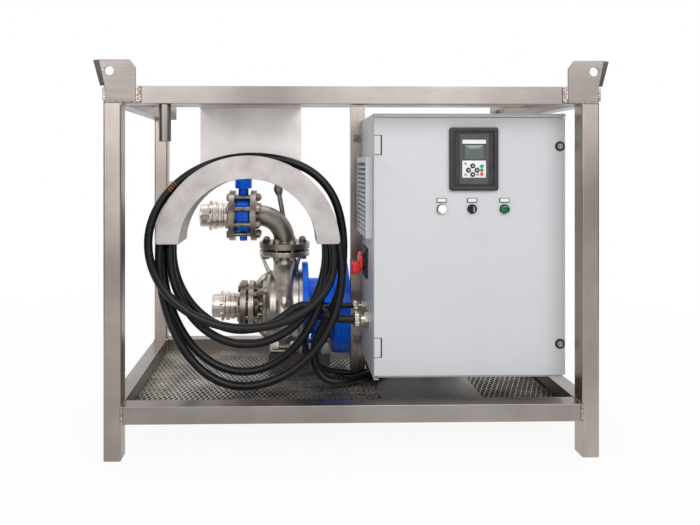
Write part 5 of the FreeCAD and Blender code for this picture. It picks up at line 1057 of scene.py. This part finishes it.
# %% Hinge tabs
for number, up in enumerate((0.8965, 0.2880)):
    # The black plate is painted shade for the gap round the tab.
    face_plate("hinge_gap_shade_%d" % number, 0.0232, 0.0590, up, mark_ink, 0.0004, 0.0010, 0.0855, DOOR_FRONT)
    face_plate("hinge_tab_%d" % number, 0.0190, 0.0562, up, cabinet_paint, 0.0014, 0.0012, 0.0834, DOOR_FRONT)

# %% [markdown]
# The cabinet's roof sheet is folded down in front, which hides the gap above the door.

# %% Roof lip
lip = pressed(rounded_outline(0.0024, 0.0104, 0.0008, 3),
              [(0.0735, 0), (0.0735, 1), (0.6525, 1), (0.6525, 0)], (0, -0.2502, 0.9856), "x")
write_piece("roof_lip", [lip], cabinet_paint)

# %% [markdown]
# The door locks are bright cups, each with a bright pin; its double-bit slot is a black plate in the cup's
# hollow, painted shade.

# %% Lock pins
for name in ("upper_lock", "lower_lock"):
    low, high = np.array(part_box(name))
    middle = (0.636, low[1] - 0.0002, (low[2] + high[2]) / 2)
    cup = knob([(0.004, 0.0078), (-0.0014, 0.0078), (-0.0022, 0.0070), (-0.0016, 0.0058), (0.0006, 0.0054)],
               middle, "y", 32)
    pin = knob([(0.004, 0.0022), (-0.0014, 0.0022)], middle, "y", 20)
    write_piece(name + "_cup", [cup, pin], steel_pin, body=name)
    # The slot is a black plate in the hollow round the pin: painted shade.
    bits = pressed(rounded_outline(0.0100, 0.0030, 0.001, 4),
                   [(0.0030, 0), (0.0030, 1), (0.0001, 1), (0.0001, 0)], middle)
    write_piece(name + "_slot", [bits], mark_ink, body=name)

# %% [markdown]
# ## The cabinet's side
# The isolator's handle is a round boss with a lever that hangs down from it. The cable glands have fluted
# nuts, and a mat of filter wool lies behind the grille.

# %% Isolator handle
near = pressed(rounded_outline(0.046, 0.064, 0.0225, 9),
               [(0.0597, 0), (0.0597, 0.90), (0.0588, 0.98), (0.0566, 1.0), (0.0530, 0.99), (0.0490, 0.90),
                (0.0475, 0.72), (0.0475, 0)], (0, -0.070, 0.520), "x")
far = pressed(rounded_outline(0.026, 0.044, 0.0125, 9),
              [(0.0540, 0.5), (0.0500, 0.90), (0.0430, 0.97), (0.0300, 1.0), (0.0245, 0.95), (0.0225, 0.80),
               (0.0220, 0)], (0, -0.074, 0.4985), "x")
spindle = knob([(0.0870, 0.0058), (0.0560, 0.0058)], (0, -0.070, 0.518), "x")
isolator_grip = write_piece("isolator_grip", [near, capped(far), spindle], red_plastic, body="isolator")
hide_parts("isolator_handle")


# %% Gland nuts and filter mat
def fluted(radius, depth, flutes):
    """A circle whose radius dips by depth flutes times: radius - depth * sin(flutes * a / 2) ** 4."""
    angle = round_angles(flutes * 8)
    reach = radius - depth * np.sin(flutes * angle / 2) ** 4
    return np.stack([reach * np.cos(angle), reach * np.sin(angle)], axis=1)


gland_lofts = []
for centre, radius, start, end in (((0, -0.120, 0.340), 0.0262, 0.0465, 0.0300),
                                   ((0, -0.042, 0.366), 0.0168, 0.0500, 0.0360)):
    layers = [(start, 0.80), (start, 0.97), (start - 0.0015, 1.0), (end + 0.0015, 1.0), (end, 0.97),
              (end, 0.80), (start, 0.80)]
    gland_lofts.append(pressed(fluted(radius, 0.0013, 26), layers, centre, "x"))
gland_lofts.append(knob([(0.0640, 0.0235), (0.0440, 0.0235)], (0, -0.120, 0.340), "x", 48))
gland_lofts.append(knob([(0.0640, 0.0150), (0.0480, 0.0150)], (0, -0.042, 0.366), "x", 48))
write_piece("gland_nuts", gland_lofts, brass, smooth=30)
write_piece("filter_mat", [knob([(0.0705, 0.0945), (0.0790, 0.0945)], (0, -0.094, 0.737), "x", 64)],
            filter_wool)

# %% [markdown]
# ## The plug
# The supply cable ends in a round industrial plug: a fluted gland nut, a ribbed body, a collar, and a
# shroud with the pins inside.

# %% Plug
PLUG = np.array([0.296, 0.132, 0.1468])
shell_profile = [(0.000, 0.0140), (0.000, 0.0185), (0.012, 0.0205), (0.014, 0.0225)]
ribs = [(0.022 + 0.006 * n + along, 0.0235 + 0.0006 * n - dip) for n in range(8)
        for along, dip in ((0.0, 0.0), (0.0036, 0.0), (0.0042, 0.0012), (0.0054, 0.0012))]
front = [(0.074, 0.0290), (0.080, 0.0352), (0.090, 0.0352), (0.092, 0.0310), (0.135, 0.0310), (0.135, 0.0285),
         (0.098, 0.0285), (0.098, 0.0)]
plug_shell = turned([(0.0, 0.0)] + shell_profile + ribs + front, PLUG, "x", 64)
plug_nut = pressed(fluted(0.0222, 0.0012, 18), [(0.002, 0.6), (0.002, 0.97), (0.016, 1.0), (0.018, 0.97),
                                                (0.018, 0.6)], PLUG, "x")
plug_body = write_piece("plug_body", [plug_shell, plug_nut], dark_plastic, smooth=35)
pins = [knob([(0.096, 0.0030), (0.128, 0.0030), (0.131, 0.0020)],
             PLUG + np.array([0, 0.0165 * math.cos(angle), 0.0165 * math.sin(angle)]), "x", 20)
        for angle in np.deg2rad([90, 162, 234, 306, 18])]
plug_pins = write_piece("plug_pins", pins, brass)
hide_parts("supply_plug")
